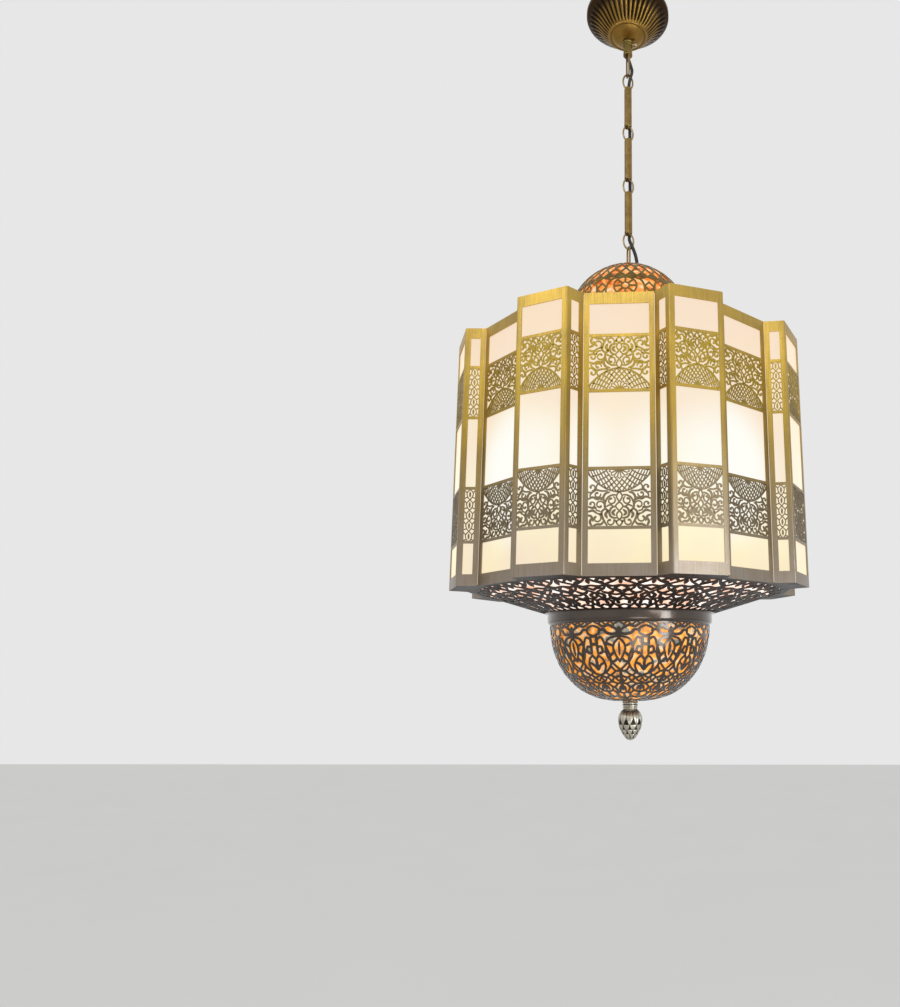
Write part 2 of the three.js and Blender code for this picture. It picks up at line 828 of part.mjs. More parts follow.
// Hand-placed route, as steps across and behind the chain, with levels off the chain's own.
function cordRoute() {
  const points = [[0, 0, -stirrupDrop - 8], [0, 0, canopyNeckEnd - 2]];
  const place = (u, v, z) => points.push([u * across.x + v * through.x, u * across.y + v * through.y, z]);
  const first = connections[0];
  const last = connections[tubeCount];
  const middleOf = (at) => (at.ringTop + at.ringBottom) / 2;
  place(1.2, 0, canopyNeckEnd - 9);
  place(4.6, -0.6, canopyNeckEnd - 21);
  place(4.6, -5.2, first.ringTop + 2);
  place(2.2, 0, middleOf(first) + 0.5);
  place(3.8, 8.6, tubes[0].top + 1);
  tubes.forEach(({ top, bottom }) => {
    place(cordSide, cordBehind, top - 12);
    place(cordSide, cordBehind, bottom + 12);
  });
  place(3.8, 8.6, tubes[tubeCount - 1].bottom - 1);
  place(2.2, 0, middleOf(last) - 0.5);
  place(5.4, -5.2, last.ringBottom - 2);
  place(9.4, -3.4, lampLoopEnd + 18);
  place(cordDrop, 0, lampLoopEnd + 5);
  place(cordDrop, 0, domeTop - 30);
  place(cordDrop, 0, hubLow + cordSpare);
  return points;
}

function cordHole(low, high) {
  const hole = rod(cordHoleRadius, low, high, holeFacets);
  return hole.translate([cordDrop * across.x, cordDrop * across.y, 0]);
}

// Spindle, holders and finial

// The flange follows the last facet of the dome, which rests on it.
function spindle() {
  const [shoulder, crown] = domeOutline(sheet).slice(-2);
  const fall = (crown[1] - shoulder[1]) / (shoulder[0] - crown[0]);
  const flangeCrown = crown[1] - 2 * seatGap;
  const flangeEdge = flangeCrown - fall * (spindleFlangeRadius - crown[0]);
  const flangeFoot = flangeEdge - spindleFlangeHeight;
  const shaft = rod(spindleRadius, bowlEnd - spindleTail, domeTop, turnedFacets);
  const flange = turned([
    [0, flangeFoot],
    [spindleFlangeRadius, flangeFoot],
    [spindleFlangeRadius, flangeEdge],
    [crown[0], flangeCrown],
    [0, flangeCrown],
  ], shellFacets);
  const stopTop = hubLow - seatGap;
  const stop = rod(spindleStopRadius, stopTop - spindleStopHeight, stopTop, turnedFacets);
  const cut = flange.subtract(cordHole(flangeFoot - cutBeyond, flangeCrown + cutBeyond));
  return join([shaft, cut, stop]);
}

function lampSpider() {
  const hub = pipe(hubRadius, spindleHole, hubLow, hubLow + hubHeight, turnedFacets);
  const arms = around(lampCount, 0, (turn) => {
    const level = hubLow + hubHeight / 2;
    const start = (hubRadius + spindleHole) / 2;
    const points = [[0, -start, level], [0, -(start + lampArm) / 2, level - armSag],
      [0, -lampArm + armSag, level - armSag / 2], [0, -lampArm, level + holderRadius]];
    return bentRod(points, armRadius, 6, 6).rotate([0, 0, THREE.MathUtils.radToDeg(turn)]);
  });
  const cups = around(lampCount, 0, (turn) => {
    const low = hubLow + hubHeight;
    const cup = turned([
      [0, low],
      [holderRadius, low],
      [holderRadius, low + holderHeight],
      [bulbCapRadius + seatGap, low + holderHeight],
      [bulbCapRadius + seatGap, low + holderHeight - bulbCapHeight],
      [0, low + holderHeight - bulbCapHeight],
    ], turnedFacets);
    const at = outward(turn).multiplyScalar(lampArm);
    return cup.translate([at.x, at.y, 0]);
  });
  return join([hub, arms, cups]);
}

function bulb(turn) {
  const low = hubLow + hubHeight + holderHeight - bulbCapHeight + seatGap;
  const neck = low + bulbCapHeight;
  const globe = bulbHeight - bulbCapHeight;
  const made = turned([
    [0, low],
    [bulbCapRadius, low],
    [bulbCapRadius, neck],
    [bulbRadius * 0.75, neck + globe * 0.16],
    [bulbRadius, neck + globe * 0.4],
    [bulbRadius * 0.8, neck + globe * 0.68],
    [bulbRadius * 0.4, neck + globe * 0.9],
    [0, neck + globe],
  ], turnedFacets);
  const at = outward(turn).multiplyScalar(lampArm);
  return made.translate([at.x, at.y, 0]);
}

function finial() {
  const top = bowlEnd - seatGap;
  const neckEnd = top - finialNeckHeight;
  const boreEnd = bowlEnd - spindleTail - seatGap;
  const bud = (share, down) => [coneBudRadius * share, neckEnd - coneBudHeight * down];
  const neck = (step, up) => [finialNeckRadius + step, neckEnd + finialNeckHeight * up];
  return turned([
    bud(0, 1),
    bud(0.2, 0.97),
    bud(0.55, 0.8),
    bud(0.74, 0.68),
    bud(0.95, 0.42),
    bud(1, 0.28),
    bud(0.83, 0.06),
    neck(-1.4, 0),
    neck(-1.4, 0.27),
    neck(0, 0.45),
    neck(-1, 0.64),
    neck(1.6, 0.82),
    neck(1.6, 1),
    [spindleHole, top],
    [spindleHole, boreEnd],
    [0, boreEnd],
  ], turnedFacets);
}

// Assembly

const lantern = new THREE.Group();

function put(name, made, look) {
  lantern.add(meshOf(name, made, look));
}

put("ceiling_bracket", ceilingBracket(), zincSteel);
put("canopy", canopy(), antiqueBrass);
put("canopy_collar", canopyCollar(), antiqueBrass);
put("canopy_set_screw", setScrew(), brightBrass);
put("hook_loop", hookLoop(), antiqueBrass);
connections.forEach((at, i) => put(`chain_ring_${i + 1}`, chainRing(at), brightBrass));
tubes.forEach((at, i) => put(`tube_link_${i + 1}`, tubeLink(at), antiqueBrass));
put("lamp_loop", lampLoop(), antiqueBrass);
put("power_cord", bentRod(cordRoute(), cordRadius, 8, 72), blackFlex);

put("dome", dome(), antiqueBrass);
put("dome_liner", domeLiner(), amberSheet);
put("roof_cone", roofCone(), darkBronze);
put("roof_plate", starPlate(bodyTop - sheet), antiqueBrass);
for (let k = 0; k < 2 * boxCount; k += 2) {
  put(`recessed_panel_${k / 2 + 1}`, recessedPanel(k), antiqueBrass);
  put(`box_panel_${k / 2 + 1}`, boxPanel(k + 1), antiqueBrass);
  put(`flat_pane_${k / 2 + 1}`, flatPane(k), opalGlass);
  put(`folded_pane_${k / 2 + 1}`, foldedPane(k + 1), opalGlass);
}
put("floor_plate", starPlate(bodyBottom), antiqueBrass);
put("funnel", funnel(), darkBronze);
put("bowl", bowl(), darkBronze);
put("bowl_liner", bowlLiner(), amberSheet);
put("spindle", spindle(), zincSteel);
put("lamp_spider", lampSpider(), zincSteel);
for (let i = 0; i < lampCount; i += 1) {
  put(`bulb_${i + 1}`, bulb((i * 2 * Math.PI) / lampCount), opalGlass);
}
put("finial", finial(), antiqueBrass);

export default lantern;
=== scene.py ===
import math
import bpy
from mathutils import Matrix, Vector


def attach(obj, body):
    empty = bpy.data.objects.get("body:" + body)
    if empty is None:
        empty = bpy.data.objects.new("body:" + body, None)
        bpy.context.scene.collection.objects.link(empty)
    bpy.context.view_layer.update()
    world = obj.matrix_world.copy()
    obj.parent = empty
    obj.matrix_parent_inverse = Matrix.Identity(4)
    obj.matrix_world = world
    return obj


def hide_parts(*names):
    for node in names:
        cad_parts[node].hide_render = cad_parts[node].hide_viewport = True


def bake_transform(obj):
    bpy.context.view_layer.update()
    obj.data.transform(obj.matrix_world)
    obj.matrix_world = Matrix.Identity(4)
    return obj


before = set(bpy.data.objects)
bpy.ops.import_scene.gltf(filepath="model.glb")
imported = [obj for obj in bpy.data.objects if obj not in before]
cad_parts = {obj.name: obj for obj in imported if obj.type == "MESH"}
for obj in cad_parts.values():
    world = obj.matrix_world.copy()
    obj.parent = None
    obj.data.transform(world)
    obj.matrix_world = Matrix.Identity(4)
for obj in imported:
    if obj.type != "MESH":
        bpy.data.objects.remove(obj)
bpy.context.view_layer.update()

MM = 0.001

# Levels and sizes in millimetres, as in the CAD model.
SHEET = 1.2
BODY_TOP, BODY_FOOT = -553.0, -872.0
BOX_APOTHEM, BOX_WIDTH = 225.0, 65.2
FACE_APOTHEM, FACE_WIDTH = 201.4, 79.3
RIM, SMALL_WINDOW, BAND, MID_WINDOW = 13.5, 36.0, 68.0, 84.0
POST, SIDE_POST = 6.4, 6.6
CONE_RIM = 196.0
BOWL_RADIUS, BOWL_BAND_END = 104.9, -911.7
DOME_RADIUS, DOME_CENTRE = 85.0, -503.4
HINGES = [-106.2, -128.0, -192.3, -214.1, -278.4, -300.2, -364.5, -386.3]
LINK_LIFT = 2.9
CHAIN_WIRE, FLEX_RADIUS = 1.3, 2.4
ACROSS = Vector((math.cos(math.radians(20)), math.sin(math.radians(20)), 0))
THROUGH = Vector((-math.sin(math.radians(20)), math.cos(math.radians(20)), 0))

# The bars of the ornament lie at a few slightly different levels, so that crossing bars seldom share a face.
SHELL_SHEET, BAR_SHEET = SHEET - 0.2, SHEET - 0.4
BAR_LEVELS, BAR_LEVEL_STEP = 7, 0.04
PLATE_BAR_GROWTH = 1.13

# Hot spots in the panes: how many, their distance from the axis and their level.
GLOW_SPOTS, GLOW_REACH, GLOW_LEVEL = 6, 130, -748


# Working on a piece

def only(piece):
    bpy.ops.object.select_all(action="DESELECT")
    piece.select_set(True)
    bpy.context.view_layer.objects.active = piece


def start_edit(piece):
    only(piece)
    bpy.ops.object.mode_set(mode="EDIT")
    bpy.ops.mesh.select_all(action="SELECT")


def end_edit():
    bpy.ops.object.mode_set(mode="OBJECT")


def weld(piece, distance=0.00001):
    start_edit(piece)
    bpy.ops.mesh.remove_doubles(threshold=distance)
    end_edit()


def face_out(piece):
    start_edit(piece)
    bpy.ops.mesh.normals_make_consistent(inside=False)
    end_edit()


def join(pieces):
    only(pieces[0])
    for piece in pieces[1:]:
        piece.select_set(True)
    bpy.ops.object.join()
    return pieces[0]


def move_points(piece, place):
    for point in piece.data.vertices:
        point.co = place(point.co)
    piece.data.update()


def wall(piece, thickness, offset=-1):
    only(piece)
    solid = piece.modifiers.new("wall", "SOLIDIFY")
    solid.thickness = thickness * MM
    solid.offset = offset
    solid.use_even_offset = False
    bpy.ops.object.modifier_apply(modifier=solid.name)


def smooth(piece, angle=35):
    only(piece)
    bpy.ops.object.shade_smooth_by_angle(angle=math.radians(angle))


def copy_of(piece, name, turn=0.0, lift=0.0):
    made = piece.copy()
    made.data = piece.data.copy()
    made.name = name
    bpy.context.collection.objects.link(made)
    made.data.transform(Matrix.Translation((0, 0, lift * MM)) @ Matrix.Rotation(turn, 4, "Z"))
    return made


def paint(piece, finish):
    piece.data.materials.clear()
    piece.data.materials.append(finish)


def hang(piece, name, finish, body, nodes=()):
    """Names a finished piece, gives it its finish and lets it ride on its body."""
    piece.name = name
    if finish:
        paint(piece, finish)
    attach(piece, body)
    if nodes:
        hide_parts(*nodes)
    return piece


# Finishes

def add(tree, kind, inputs=None, **settings):
    made = tree.nodes.new(kind)
    for key, value in settings.items():
        setattr(made, key, value)
    for key, value in (inputs or {}).items():
        if isinstance(value, bpy.types.NodeSocket):
            tree.links.new(value, made.inputs[key])
        else:
            made.inputs[key].default_value = value
    return made


def new_finish(name):
    finish = bpy.data.materials.new(name)
    finish.use_nodes = True
    return finish, finish.node_tree, finish.node_tree.nodes["Principled BSDF"]


def own_place(tree):
    """A point's place on the piece's own coordinates."""
    return add(tree, "ShaderNodeTexCoord").outputs["Object"]


def spots(tree, scale, detail=3, stretch=(1, 1, 1), rough=0.5):
    """Cloudy noise, as a value from 0 to 1."""
    mapped = add(tree, "ShaderNodeMapping", {"Vector": own_place(tree), "Scale": stretch}).outputs["Vector"]
    grain = {"Vector": mapped, "Scale": scale, "Detail": detail, "Roughness": rough}
    return add(tree, "ShaderNodeTexNoise", grain).outputs["Fac"]


def dimple(tree, shader, height, strength, depth):
    """Gives a finish small bumps and hollows."""
    bump = add(tree, "ShaderNodeBump", {"Height": height, "Strength": strength, "Distance": depth})
    tree.links.new(bump.outputs["Normal"], shader.inputs["Normal"])


def ramp(tree, value, stops):
    made = add(tree, "ShaderNodeValToRGB", {"Fac": value})
    band = made.color_ramp
    while len(band.elements) < len(stops):
        band.elements.new(0.5)
    for element, (place, colour) in zip(band.elements, stops):
        element.position = place
        element.color = (*colour, 1)
    return made.outputs["Color"]


def level(tree, value, low, high):
    return add(tree, "ShaderNodeMapRange", {"Value": value, "To Min": low, "To Max": high}).outputs["Result"]


def mix(tree, share, first, second):
    made = tree.nodes.new("ShaderNodeMix")
    made.data_type = "RGBA"
    for index, value in ((0, share), (6, first), (7, second)):
        if isinstance(value, bpy.types.NodeSocket):
            tree.links.new(value, made.inputs[index])
        else:
            made.inputs[index].default_value = value if index == 0 else (*value, 1)
    return made.outputs[2]


def between(tree, value, low, high):
    """How far a value is between two others in millimetres, from 0 to 1."""
    ends = {"Value": value, "From Min": low * MM, "From Max": high * MM}
    return add(tree, "ShaderNodeMapRange", ends).outputs["Result"]


def height_share(tree):
    """How far up the body a point is, from 0 at its foot to 1 at its top."""
    z = add(tree, "ShaderNodeSeparateXYZ", {"Vector": own_place(tree)}).outputs["Z"]
    return between(tree, z, BODY_FOOT, BODY_TOP)


def brass_with_painted_top_light(name, tones, worn, dark, gloss):
    """Brass with fine upright brush lines and cloudy wear. Its tones run from the foot to the top rim,
    growing lighter and more golden towards the top: painted light, as if lit from above.
    """
    finish, tree, shader = new_finish(name)
    lines = spots(tree, 1, 4, (1500, 1500, 26), 0.6)
    clouds = spots(tree, 22, 3)
    stops = list(zip((0.0, 0.22, 0.5, 0.72, 1.0), tones))
    # Painted light: the tone is set by the height on the body, bright gold at the top rim and greyer below.
    tone = ramp(tree, height_share(tree), stops)
    cloudy = mix(tree, level(tree, clouds, -0.3, 0.75), tone, worn)
    streaked = mix(tree, level(tree, lines, -0.35, 0.75), cloudy, dark)
    tree.links.new(streaked, shader.inputs["Base Color"])
    tree.links.new(level(tree, lines, gloss, gloss + 0.22), shader.inputs["Roughness"])
    dimple(tree, shader, lines, 0.18, 0.0003)
    shader.inputs["Metallic"].default_value = 0.9
    return finish


def cast_metal(name, light, dark, roughness, scale=60, coat=0.0):
    """A metal with darker clouds, faint pits and an uneven shine."""
    finish, tree, shader = new_finish(name)
    clouds = spots(tree, scale, 5)
    pits = spots(tree, scale * 12, 2)
    tree.links.new(mix(tree, level(tree, clouds, -0.2, 1.0), light, dark), shader.inputs["Base Color"])
    tree.links.new(level(tree, clouds, roughness - 0.08, roughness + 0.14), shader.inputs["Roughness"])
    dimple(tree, shader, pits, 0.12, 0.0004)
    shader.inputs["Metallic"].default_value = 0.9
    shader.inputs["Coat Weight"].default_value = coat
    shader.inputs["Coat Roughness"].default_value = 0.12
    return finish


def speckled_metal(name, light, dark, fleck):
    """A dark plate with the small pale flecks of its punched finish."""
    finish, tree, shader = new_finish(name)
    clouds = spots(tree, 50, 4)
    cells = add(tree, "ShaderNodeTexVoronoi", {"Vector": own_place(tree), "Scale": 330.0}).outputs["Distance"]
    ends = {"Value": cells, "From Min": 0.16, "From Max": 0.30, "To Min": 1, "To Max": 0}
    flecks = add(tree, "ShaderNodeMapRange", ends).outputs["Result"]
    plain = mix(tree, level(tree, clouds, -0.2, 1.0), light, dark)
    tree.links.new(mix(tree, flecks, plain, fleck), shader.inputs["Base Color"])
    tree.links.new(level(tree, clouds, 0.34, 0.55), shader.inputs["Roughness"])
    dimple(tree, shader, flecks, 0.25, 0.0004)
    shader.inputs["Metallic"].default_value = 0.85
    return finish


def metal_with_painted_shade(name, light, dark, roughness, shade_from_radius=None):
    """A metal with painted shade: dark in its grooves, told by the piece's own attribute, and dark brown past
    a radius.
    """
    finish, tree, shader = new_finish(name)
    groove_shade = add(tree, "ShaderNodeAttribute", attribute_name="groove_shade").outputs["Fac"]
    clouds = spots(tree, 90, 4)
    tone = mix(tree, level(tree, clouds, -0.2, 0.8), light, tuple(0.55 * c for c in light))
    # Painted shade: past this radius the tone turns dark brown.
    if shade_from_radius:
        flat = add(tree, "ShaderNodeMapping", {"Vector": own_place(tree), "Scale": (1, 1, 0)})
        length = {0: flat.outputs["Vector"]}
        reach = add(tree, "ShaderNodeVectorMath", length, operation="LENGTH").outputs["Value"]
        tone = mix(tree, between(tree, reach, shade_from_radius - 8, shade_from_radius), tone, (0.05, 0.025, 0.009))
    # Painted shade: the piece's groove value darkens its hollows to the dark tone.
    tree.links.new(mix(tree, groove_shade, tone, dark), shader.inputs["Base Color"])
    tree.links.new(level(tree, clouds, roughness - 0.06, roughness + 0.12), shader.inputs["Roughness"])
    dimple(tree, shader, clouds, 0.1, 0.0004)
    shader.inputs["Metallic"].default_value = 0.9
    return finish


def lit_sheet(name, tones, strength, scale=40):
    """A thin translucent sheet that glows, in uneven patches of a few tones. On a lining the glow is painted
    light of the lamps behind it.
    """
    finish, tree, shader = new_finish(name)
    patches = level(tree, spots(tree, scale, 3), -0.75, 1.75)
    stops = [(0.12 + 0.76 * i / (len(tones) - 1), tone) for i, tone in enumerate(tones)]
    tone = ramp(tree, patches, stops)
    tree.links.new(tone, shader.inputs["Base Color"])
    tree.links.new(tone, shader.inputs["Emission Color"])
    shader.inputs["Emission Strength"].default_value = strength
    shader.inputs["Roughness"].default_value = 0.5
    dimple(tree, shader, spots(tree, 400, 2), 0.1, 0.0004)
    return finish


def lamp_glow(tree):
    """The share of full glow near the hot spots, which are repeated round the body."""
    place = own_place(tree)
    nearest = None
    for k in range(GLOW_SPOTS):
        turn = 2 * math.pi * (k + 0.5) / GLOW_SPOTS
        spot = Vector((math.sin(turn) * GLOW_REACH, -math.cos(turn) * GLOW_REACH, GLOW_LEVEL)) * MM
        away = add(tree, "ShaderNodeVectorMath", {0: place, 1: spot}, operation="DISTANCE").outputs["Value"]
        if nearest:
            pair = {0: nearest, 1: away, 2: 0.03}
            away = add(tree, "ShaderNodeMath", pair, operation="SMOOTH_MIN").outputs[0]
        nearest = away
    near = {"Value": nearest, "From Min": 0.084, "From Max": 0.124, "To Min": 1.0, "To Max": 0.0}
    return add(tree, "ShaderNodeMapRange", near, interpolation_type="SMOOTHSTEP").outputs["Result"]


def opal_glass():
    finish, tree, shader = new_finish("opal pane, painted glow")
    # Painted light: the pane is no lamp. Its glow is set by height and made whiter at the hot spots.
    tone = ramp(tree, height_share(tree), [
        (0.0, (0.97, 0.81, 0.50)),
        (0.14, (1.0, 0.90, 0.59)),
        (0.30, (0.99, 0.88, 0.61)),
        (0.45, (0.98, 0.86, 0.63)),
        (0.62, (0.97, 0.82, 0.61)),
        (0.84, (0.95, 0.76, 0.55)),
        (1.0, (0.93, 0.71, 0.50)),
    ])
    clouds = spots(tree, 13, 2, (1, 1, 0.6))
    soft = mix(tree, level(tree, clouds, -1.1, 1.5), tone, (0.93, 0.76, 0.60))
    tree.links.new(mix(tree, lamp_glow(tree), soft, (1.0, 1.0, 0.93)), shader.inputs["Emission Color"])
    shader.inputs["Base Color"].default_value = (0.05, 0.048, 0.045, 1)
    shader.inputs["Emission Strength"].default_value = 0.93
    shader.inputs["Specular IOR Level"].default_value = 0.3
    tree.links.new(level(tree, spots(tree, 60, 2), 0.3, 0.5), shader.inputs["Roughness"])
    dimple(tree, shader, spots(tree, 14, 2, (1, 1, 0.2)), 0.05, 0.002)
    return finish


def flex_sheath():
    finish, tree, shader = new_finish("flex sheath")
    dust = spots(tree, 300, 3)
    tone = mix(tree, level(tree, dust, 0, 1), (0.018, 0.017, 0.016), (0.045, 0.042, 0.038))
    tree.links.new(tone, shader.inputs["Base Color"])
    tree.links.new(level(tree, dust, 0.5, 0.75), shader.inputs["Roughness"])
    dimple(tree, shader, dust, 0.1, 0.0003)
    return finish


# The plate brass and the darker bar brass both carry painted light in their tones by height.
TOP_LIT_BRASS = brass_with_painted_top_light(
    "brushed antique brass, painted top light",
    [(0.36, 0.31, 0.27), (0.31, 0.25, 0.17), (0.39, 0.26, 0.05), (0.55, 0.365, 0.045), (0.68, 0.45, 0.085)],
    (0.24, 0.17, 0.07), (0.15, 0.105, 0.05), 0.26)
TOP_LIT_BAR_BRASS = brass_with_painted_top_light(
    "cut bar brass, painted top light",
    [(0.27, 0.23, 0.18), (0.25, 0.20, 0.135), (0.29, 0.21, 0.08), (0.50, 0.35, 0.035), (0.54, 0.38, 0.045)],
    (0.15, 0.10, 0.04), (0.10, 0.07, 0.03), 0.32)
CHAIN_BRASS = cast_metal("chain brass", (0.36, 0.23, 0.075), (0.11, 0.065, 0.02), 0.3, 120)
BRIGHT_WIRE = cast_metal("bright brass wire", (0.50, 0.38, 0.20), (0.17, 0.11, 0.045), 0.2, 150)
BRONZE = cast_metal("dark bronze", (0.09, 0.063, 0.046), (0.025, 0.017, 0.012), 0.22, 35, coat=0.8)
CONE_BRONZE = cast_metal("smoked bronze", (0.06, 0.048, 0.042), (0.018, 0.014, 0.013), 0.4, 45)
DOME_BRASS = cast_metal("olive brass", (0.30, 0.22, 0.06), (0.09, 0.06, 0.018), 0.36, 60)
PLATE_BRONZE = speckled_metal(
    "speckled bronze", (0.07, 0.058, 0.055), (0.02, 0.016, 0.017), (0.22, 0.22, 0.25))
ZINC = cast_metal("zinc plate", (0.42, 0.42, 0.41), (0.24, 0.24, 0.23), 0.4, 80)
# The canopy and pinecone finishes paint shade into their grooves.
SHADED_CANOPY_BRASS = metal_with_painted_shade("ribbed canopy brass, painted shade", (0.34, 0.19, 0.037), (0.014, 0.008, 0.003), 0.3, 52)
SHADED_CONE_BUD = metal_with_painted_shade("pinecone brass, painted groove shade", (0.62, 0.58, 0.48), (0.03, 0.024, 0.016), 0.24)
GLOWING_OPAL = opal_glass()
# The linings are no lamps: their glow is painted light from the lamps inside.
ORANGE_GLOW = lit_sheet(
    "orange lining, painted glow",
    [(0.50, 0.09, 0.01), (0.88, 0.24, 0.04), (0.88, 0.38, 0.10), (0.88, 0.58, 0.36)],
    0.66, 110)
AMBER_GLOW = lit_sheet(
    "amber lining, painted glow",
    [(0.16, 0.15, 0.12), (0.80, 0.27, 0.02), (0.86, 0.36, 0.06), (0.80, 0.50, 0.28), (0.22, 0.22, 0.18)],
    0.66, 85)
PINK_GLOW = lit_sheet("pinkish lining, painted glow", [(0.80, 0.42, 0.28), (0.93, 0.70, 0.58), (0.97, 0.90, 0.84)], 0.95, 55)
FLEX = flex_sheath()
LAMP = lit_sheet("frosted lamp glass", [(1.0, 0.80, 0.55), (1.0, 0.90, 0.75)], 1.6, 20)


# Turned work, wire and flat sheet

def turned(profile, steps):
    """A turned form: its closed half profile, in millimetres, spun round the axis."""
    bpy.ops.object.select_all(action="DESELECT")
    bpy.ops.mesh.primitive_circle_add(vertices=len(profile), radius=1, fill_type="NOTHING")
    piece = bpy.context.object
    for point, (r, z) in zip(piece.data.vertices, profile):
        point.co = (r * MM, 0, z * MM)
    start_edit(piece)
    bpy.ops.mesh.spin(steps=steps, dupli=False, angle=2 * math.pi, center=(0, 0, 0), axis=(0, 0, 1))
    bpy.ops.mesh.select_all(action="SELECT")
    bpy.ops.mesh.remove_doubles(threshold=0.000005)
    bpy.ops.mesh.normals_make_consistent(inside=False)
    end_edit()
    return piece


def wire(points, radius, closed=False, round_steps=3):
    """A round wire along points in millimetres."""
    bpy.ops.object.select_all(action="DESELECT")
    bpy.ops.curve.primitive_bezier_curve_add()
    piece = bpy.context.object
    line = piece.data
    line.splines.clear()
    spline = line.splines.new("POLY")
    spline.points.add(len(points) - 1)
    for knot, point in zip(spline.points, points):
        knot.co = (*(Vector(point) * MM), 1)
    spline.use_cyclic_u = closed
    spline.use_smooth = True
    line.dimensions = "3D"
    line.bevel_depth = radius * MM
    line.bevel_resolution = round_steps
    line.use_fill_caps = not closed
    only(piece)
    bpy.ops.object.convert(target="MESH")
    weld(piece, 0.000002)
    face_out(piece)
    return piece


def flat_sheet(outline, holes):
    """A flat pierced sheet drawn in millimetres, made a mesh, with its face up."""
    bpy.ops.object.select_all(action="DESELECT")
    bpy.ops.curve.primitive_bezier_curve_add()
    piece = bpy.context.object
    line = piece.data
    line.splines.clear()
    line.dimensions = "2D"
    line.fill_mode = "BOTH"
    for loop in [outline, *holes]:
        spline = line.splines.new("POLY")
        spline.points.add(len(loop) - 1)
        for knot, (x, y) in zip(spline.points, loop):
            knot.co = (x, y, 0, 1)
        spline.use_cyclic_u = True
    only(piece)
    bpy.ops.object.convert(target="MESH")
    weld(piece, 0.001)
    return piece


def rule(piece, across=(), up=()):
    """Cuts a flat sheet along lines across and up, so that it can be folded or bent there."""
    start_edit(piece)
    for x in across:
        bpy.ops.mesh.select_all(action="SELECT")
        bpy.ops.mesh.bisect(plane_co=(x, 0, 0), plane_no=(1, 0, 0))
    for y in up:
        bpy.ops.mesh.select_all(action="SELECT")
        bpy.ops.mesh.bisect(plane_co=(0, y, 0), plane_no=(0, 1, 0))
    bpy.ops.mesh.select_all(action="SELECT")
    bpy.ops.mesh.quads_convert_to_tris()
    end_edit()


def point_out(piece, away):
    """Turns the faces of a thin sheet so that they look out, which away() tells from a face's centre."""
    total = sum(face.normal.dot(away(face.center)) * face.area for face in piece.data.polygons)
    if total < 0:
        start_edit(piece)
        bpy.ops.mesh.flip_normals()
        end_edit()


def rectangle(left, right, low, high):
    return [(left, low), (right, low), (right, high), (left, high)]


# Bars of the ornament

def eased(p, q, r, s, t):
    """A value between q and r that also follows their neighbours p and s."""
    bend = (2 * p - 5 * q + 4 * r - s) * t * t
    twist = (3 * q - p - 3 * r + s) * t**3
    return 0.5 * (2 * q + (r - p) * t + bend + twist)


def through(knots, steps=4):
    """A smooth line through a few knots in the plane."""
    ends = [knots[0], *knots, knots[-1]]
    line = []
    for a, b, c, d in zip(ends, ends[1:], ends[2:], ends[3:]):
        for i in range(steps):
            line.append(tuple(eased(p, q, r, s, i / steps) for p, q, r, s in zip(a, b, c, d)))
    return line + [tuple(knots[-1])]


def bar(knots, width=1.5, end=1.0, belly=0.0, steps=4):
    """A bar through some knots. End scales its width at the last one, belly swells its middle."""
    line = through(knots, steps)
    made = []
    for i, (x, y) in enumerate(line):
        t = i / (len(line) - 1)
        made.append((x, y, width / 2 * (1 + (end - 1) * t) + belly / 2 * math.sin(math.pi * t)))
    return made


def scroll(x, y, radius, start, sweep, width=1.5, bud=3.2, tight=0.42, steps=12):
    """A bar that curls in and ends in a bud. Start is the way from the middle to its first point."""
    made = []
    for i in range(steps + 1):
        t = i / steps
        turn = math.radians(start + sweep * t)
        reach = radius * (1 - (1 - tight) * t)
        swell = width + (bud - width) * max(0.0, (t - 0.72) / 0.28) ** 1.5
        made.append((x + reach * math.sin(turn), y + reach * math.cos(turn), swell / 2))
    return made


def hoop(x, y, across, up, width=1.2, steps=16):
    """A closed oval bar."""
    turns = [2 * math.pi * i / steps for i in range(steps + 1)]
    return [(x + across * math.sin(turn), y + up * math.cos(turn), width / 2) for turn in turns]


def both(bars):
    return bars + [[(-x, y, half) for x, y, half in line] for line in bars]


def shrunk(bars, share):
    return [[(x * share, y, half) for x, y, half in line] for line in bars]


def net_rim(x):
    """The level of the arc that ends the net."""
    return 27.6 - x * x / 56


def lattice():
    """The net of crossing arcs around the fan, next to the middle window."""
    bars = []
    pitch, rise, half_band = 5.6, 6.6, 33.6
    for n in range(-8, 9):
        for way in (1, -1):
            line = []
            for i in range(-68, 69):
                x = i * 0.5
                y = net_rim(x) - rise * (way * x / pitch - n + 0.5)
                inside = (x / 11.4) ** 2 + ((y - 2) / 11.2) ** 2 < 1
                if abs(x) < half_band and 3 < y <= net_rim(x) + 0.4 and not inside:
                    line.append((x, y, 0.62))
                    continue
                if len(line) > 3:
                    bars.append(line[::2])
                line = []
            if len(line) > 3:
                bars.append(line[::2])
    return bars + [[(x, net_rim(x), 0.75) for x in range(-34, 35, 2)]]


def fan():
    """The fan of petals at the middle of a band's inner edge."""
    tips, bars = [], []
    for turn in (0, 24, 49, 74, 92):
        a = math.radians(turn)
        tips.append((11.6 * math.sin(a), 2 + 11.4 * math.cos(a)))
    for turn, (x0, y0), (x1, y1) in zip((12, 36, 61, 84), tips, tips[1:]):
        a = math.radians(turn)
        notch = (9.2 * math.sin(a), 2 + 9.2 * math.cos(a))
        stem = [(1.2 * math.sin(a), 3.2), (5 * math.sin(a), 3 + 4.2 * math.cos(a)), notch]
        bars.append(bar(stem, 1.5, 0.7))
        bars.append(bar([(x0, y0), notch], 1.1, steps=2))
        bars.append(bar([notch, (x1, y1)], 1.1, steps=2))
    return both(bars)


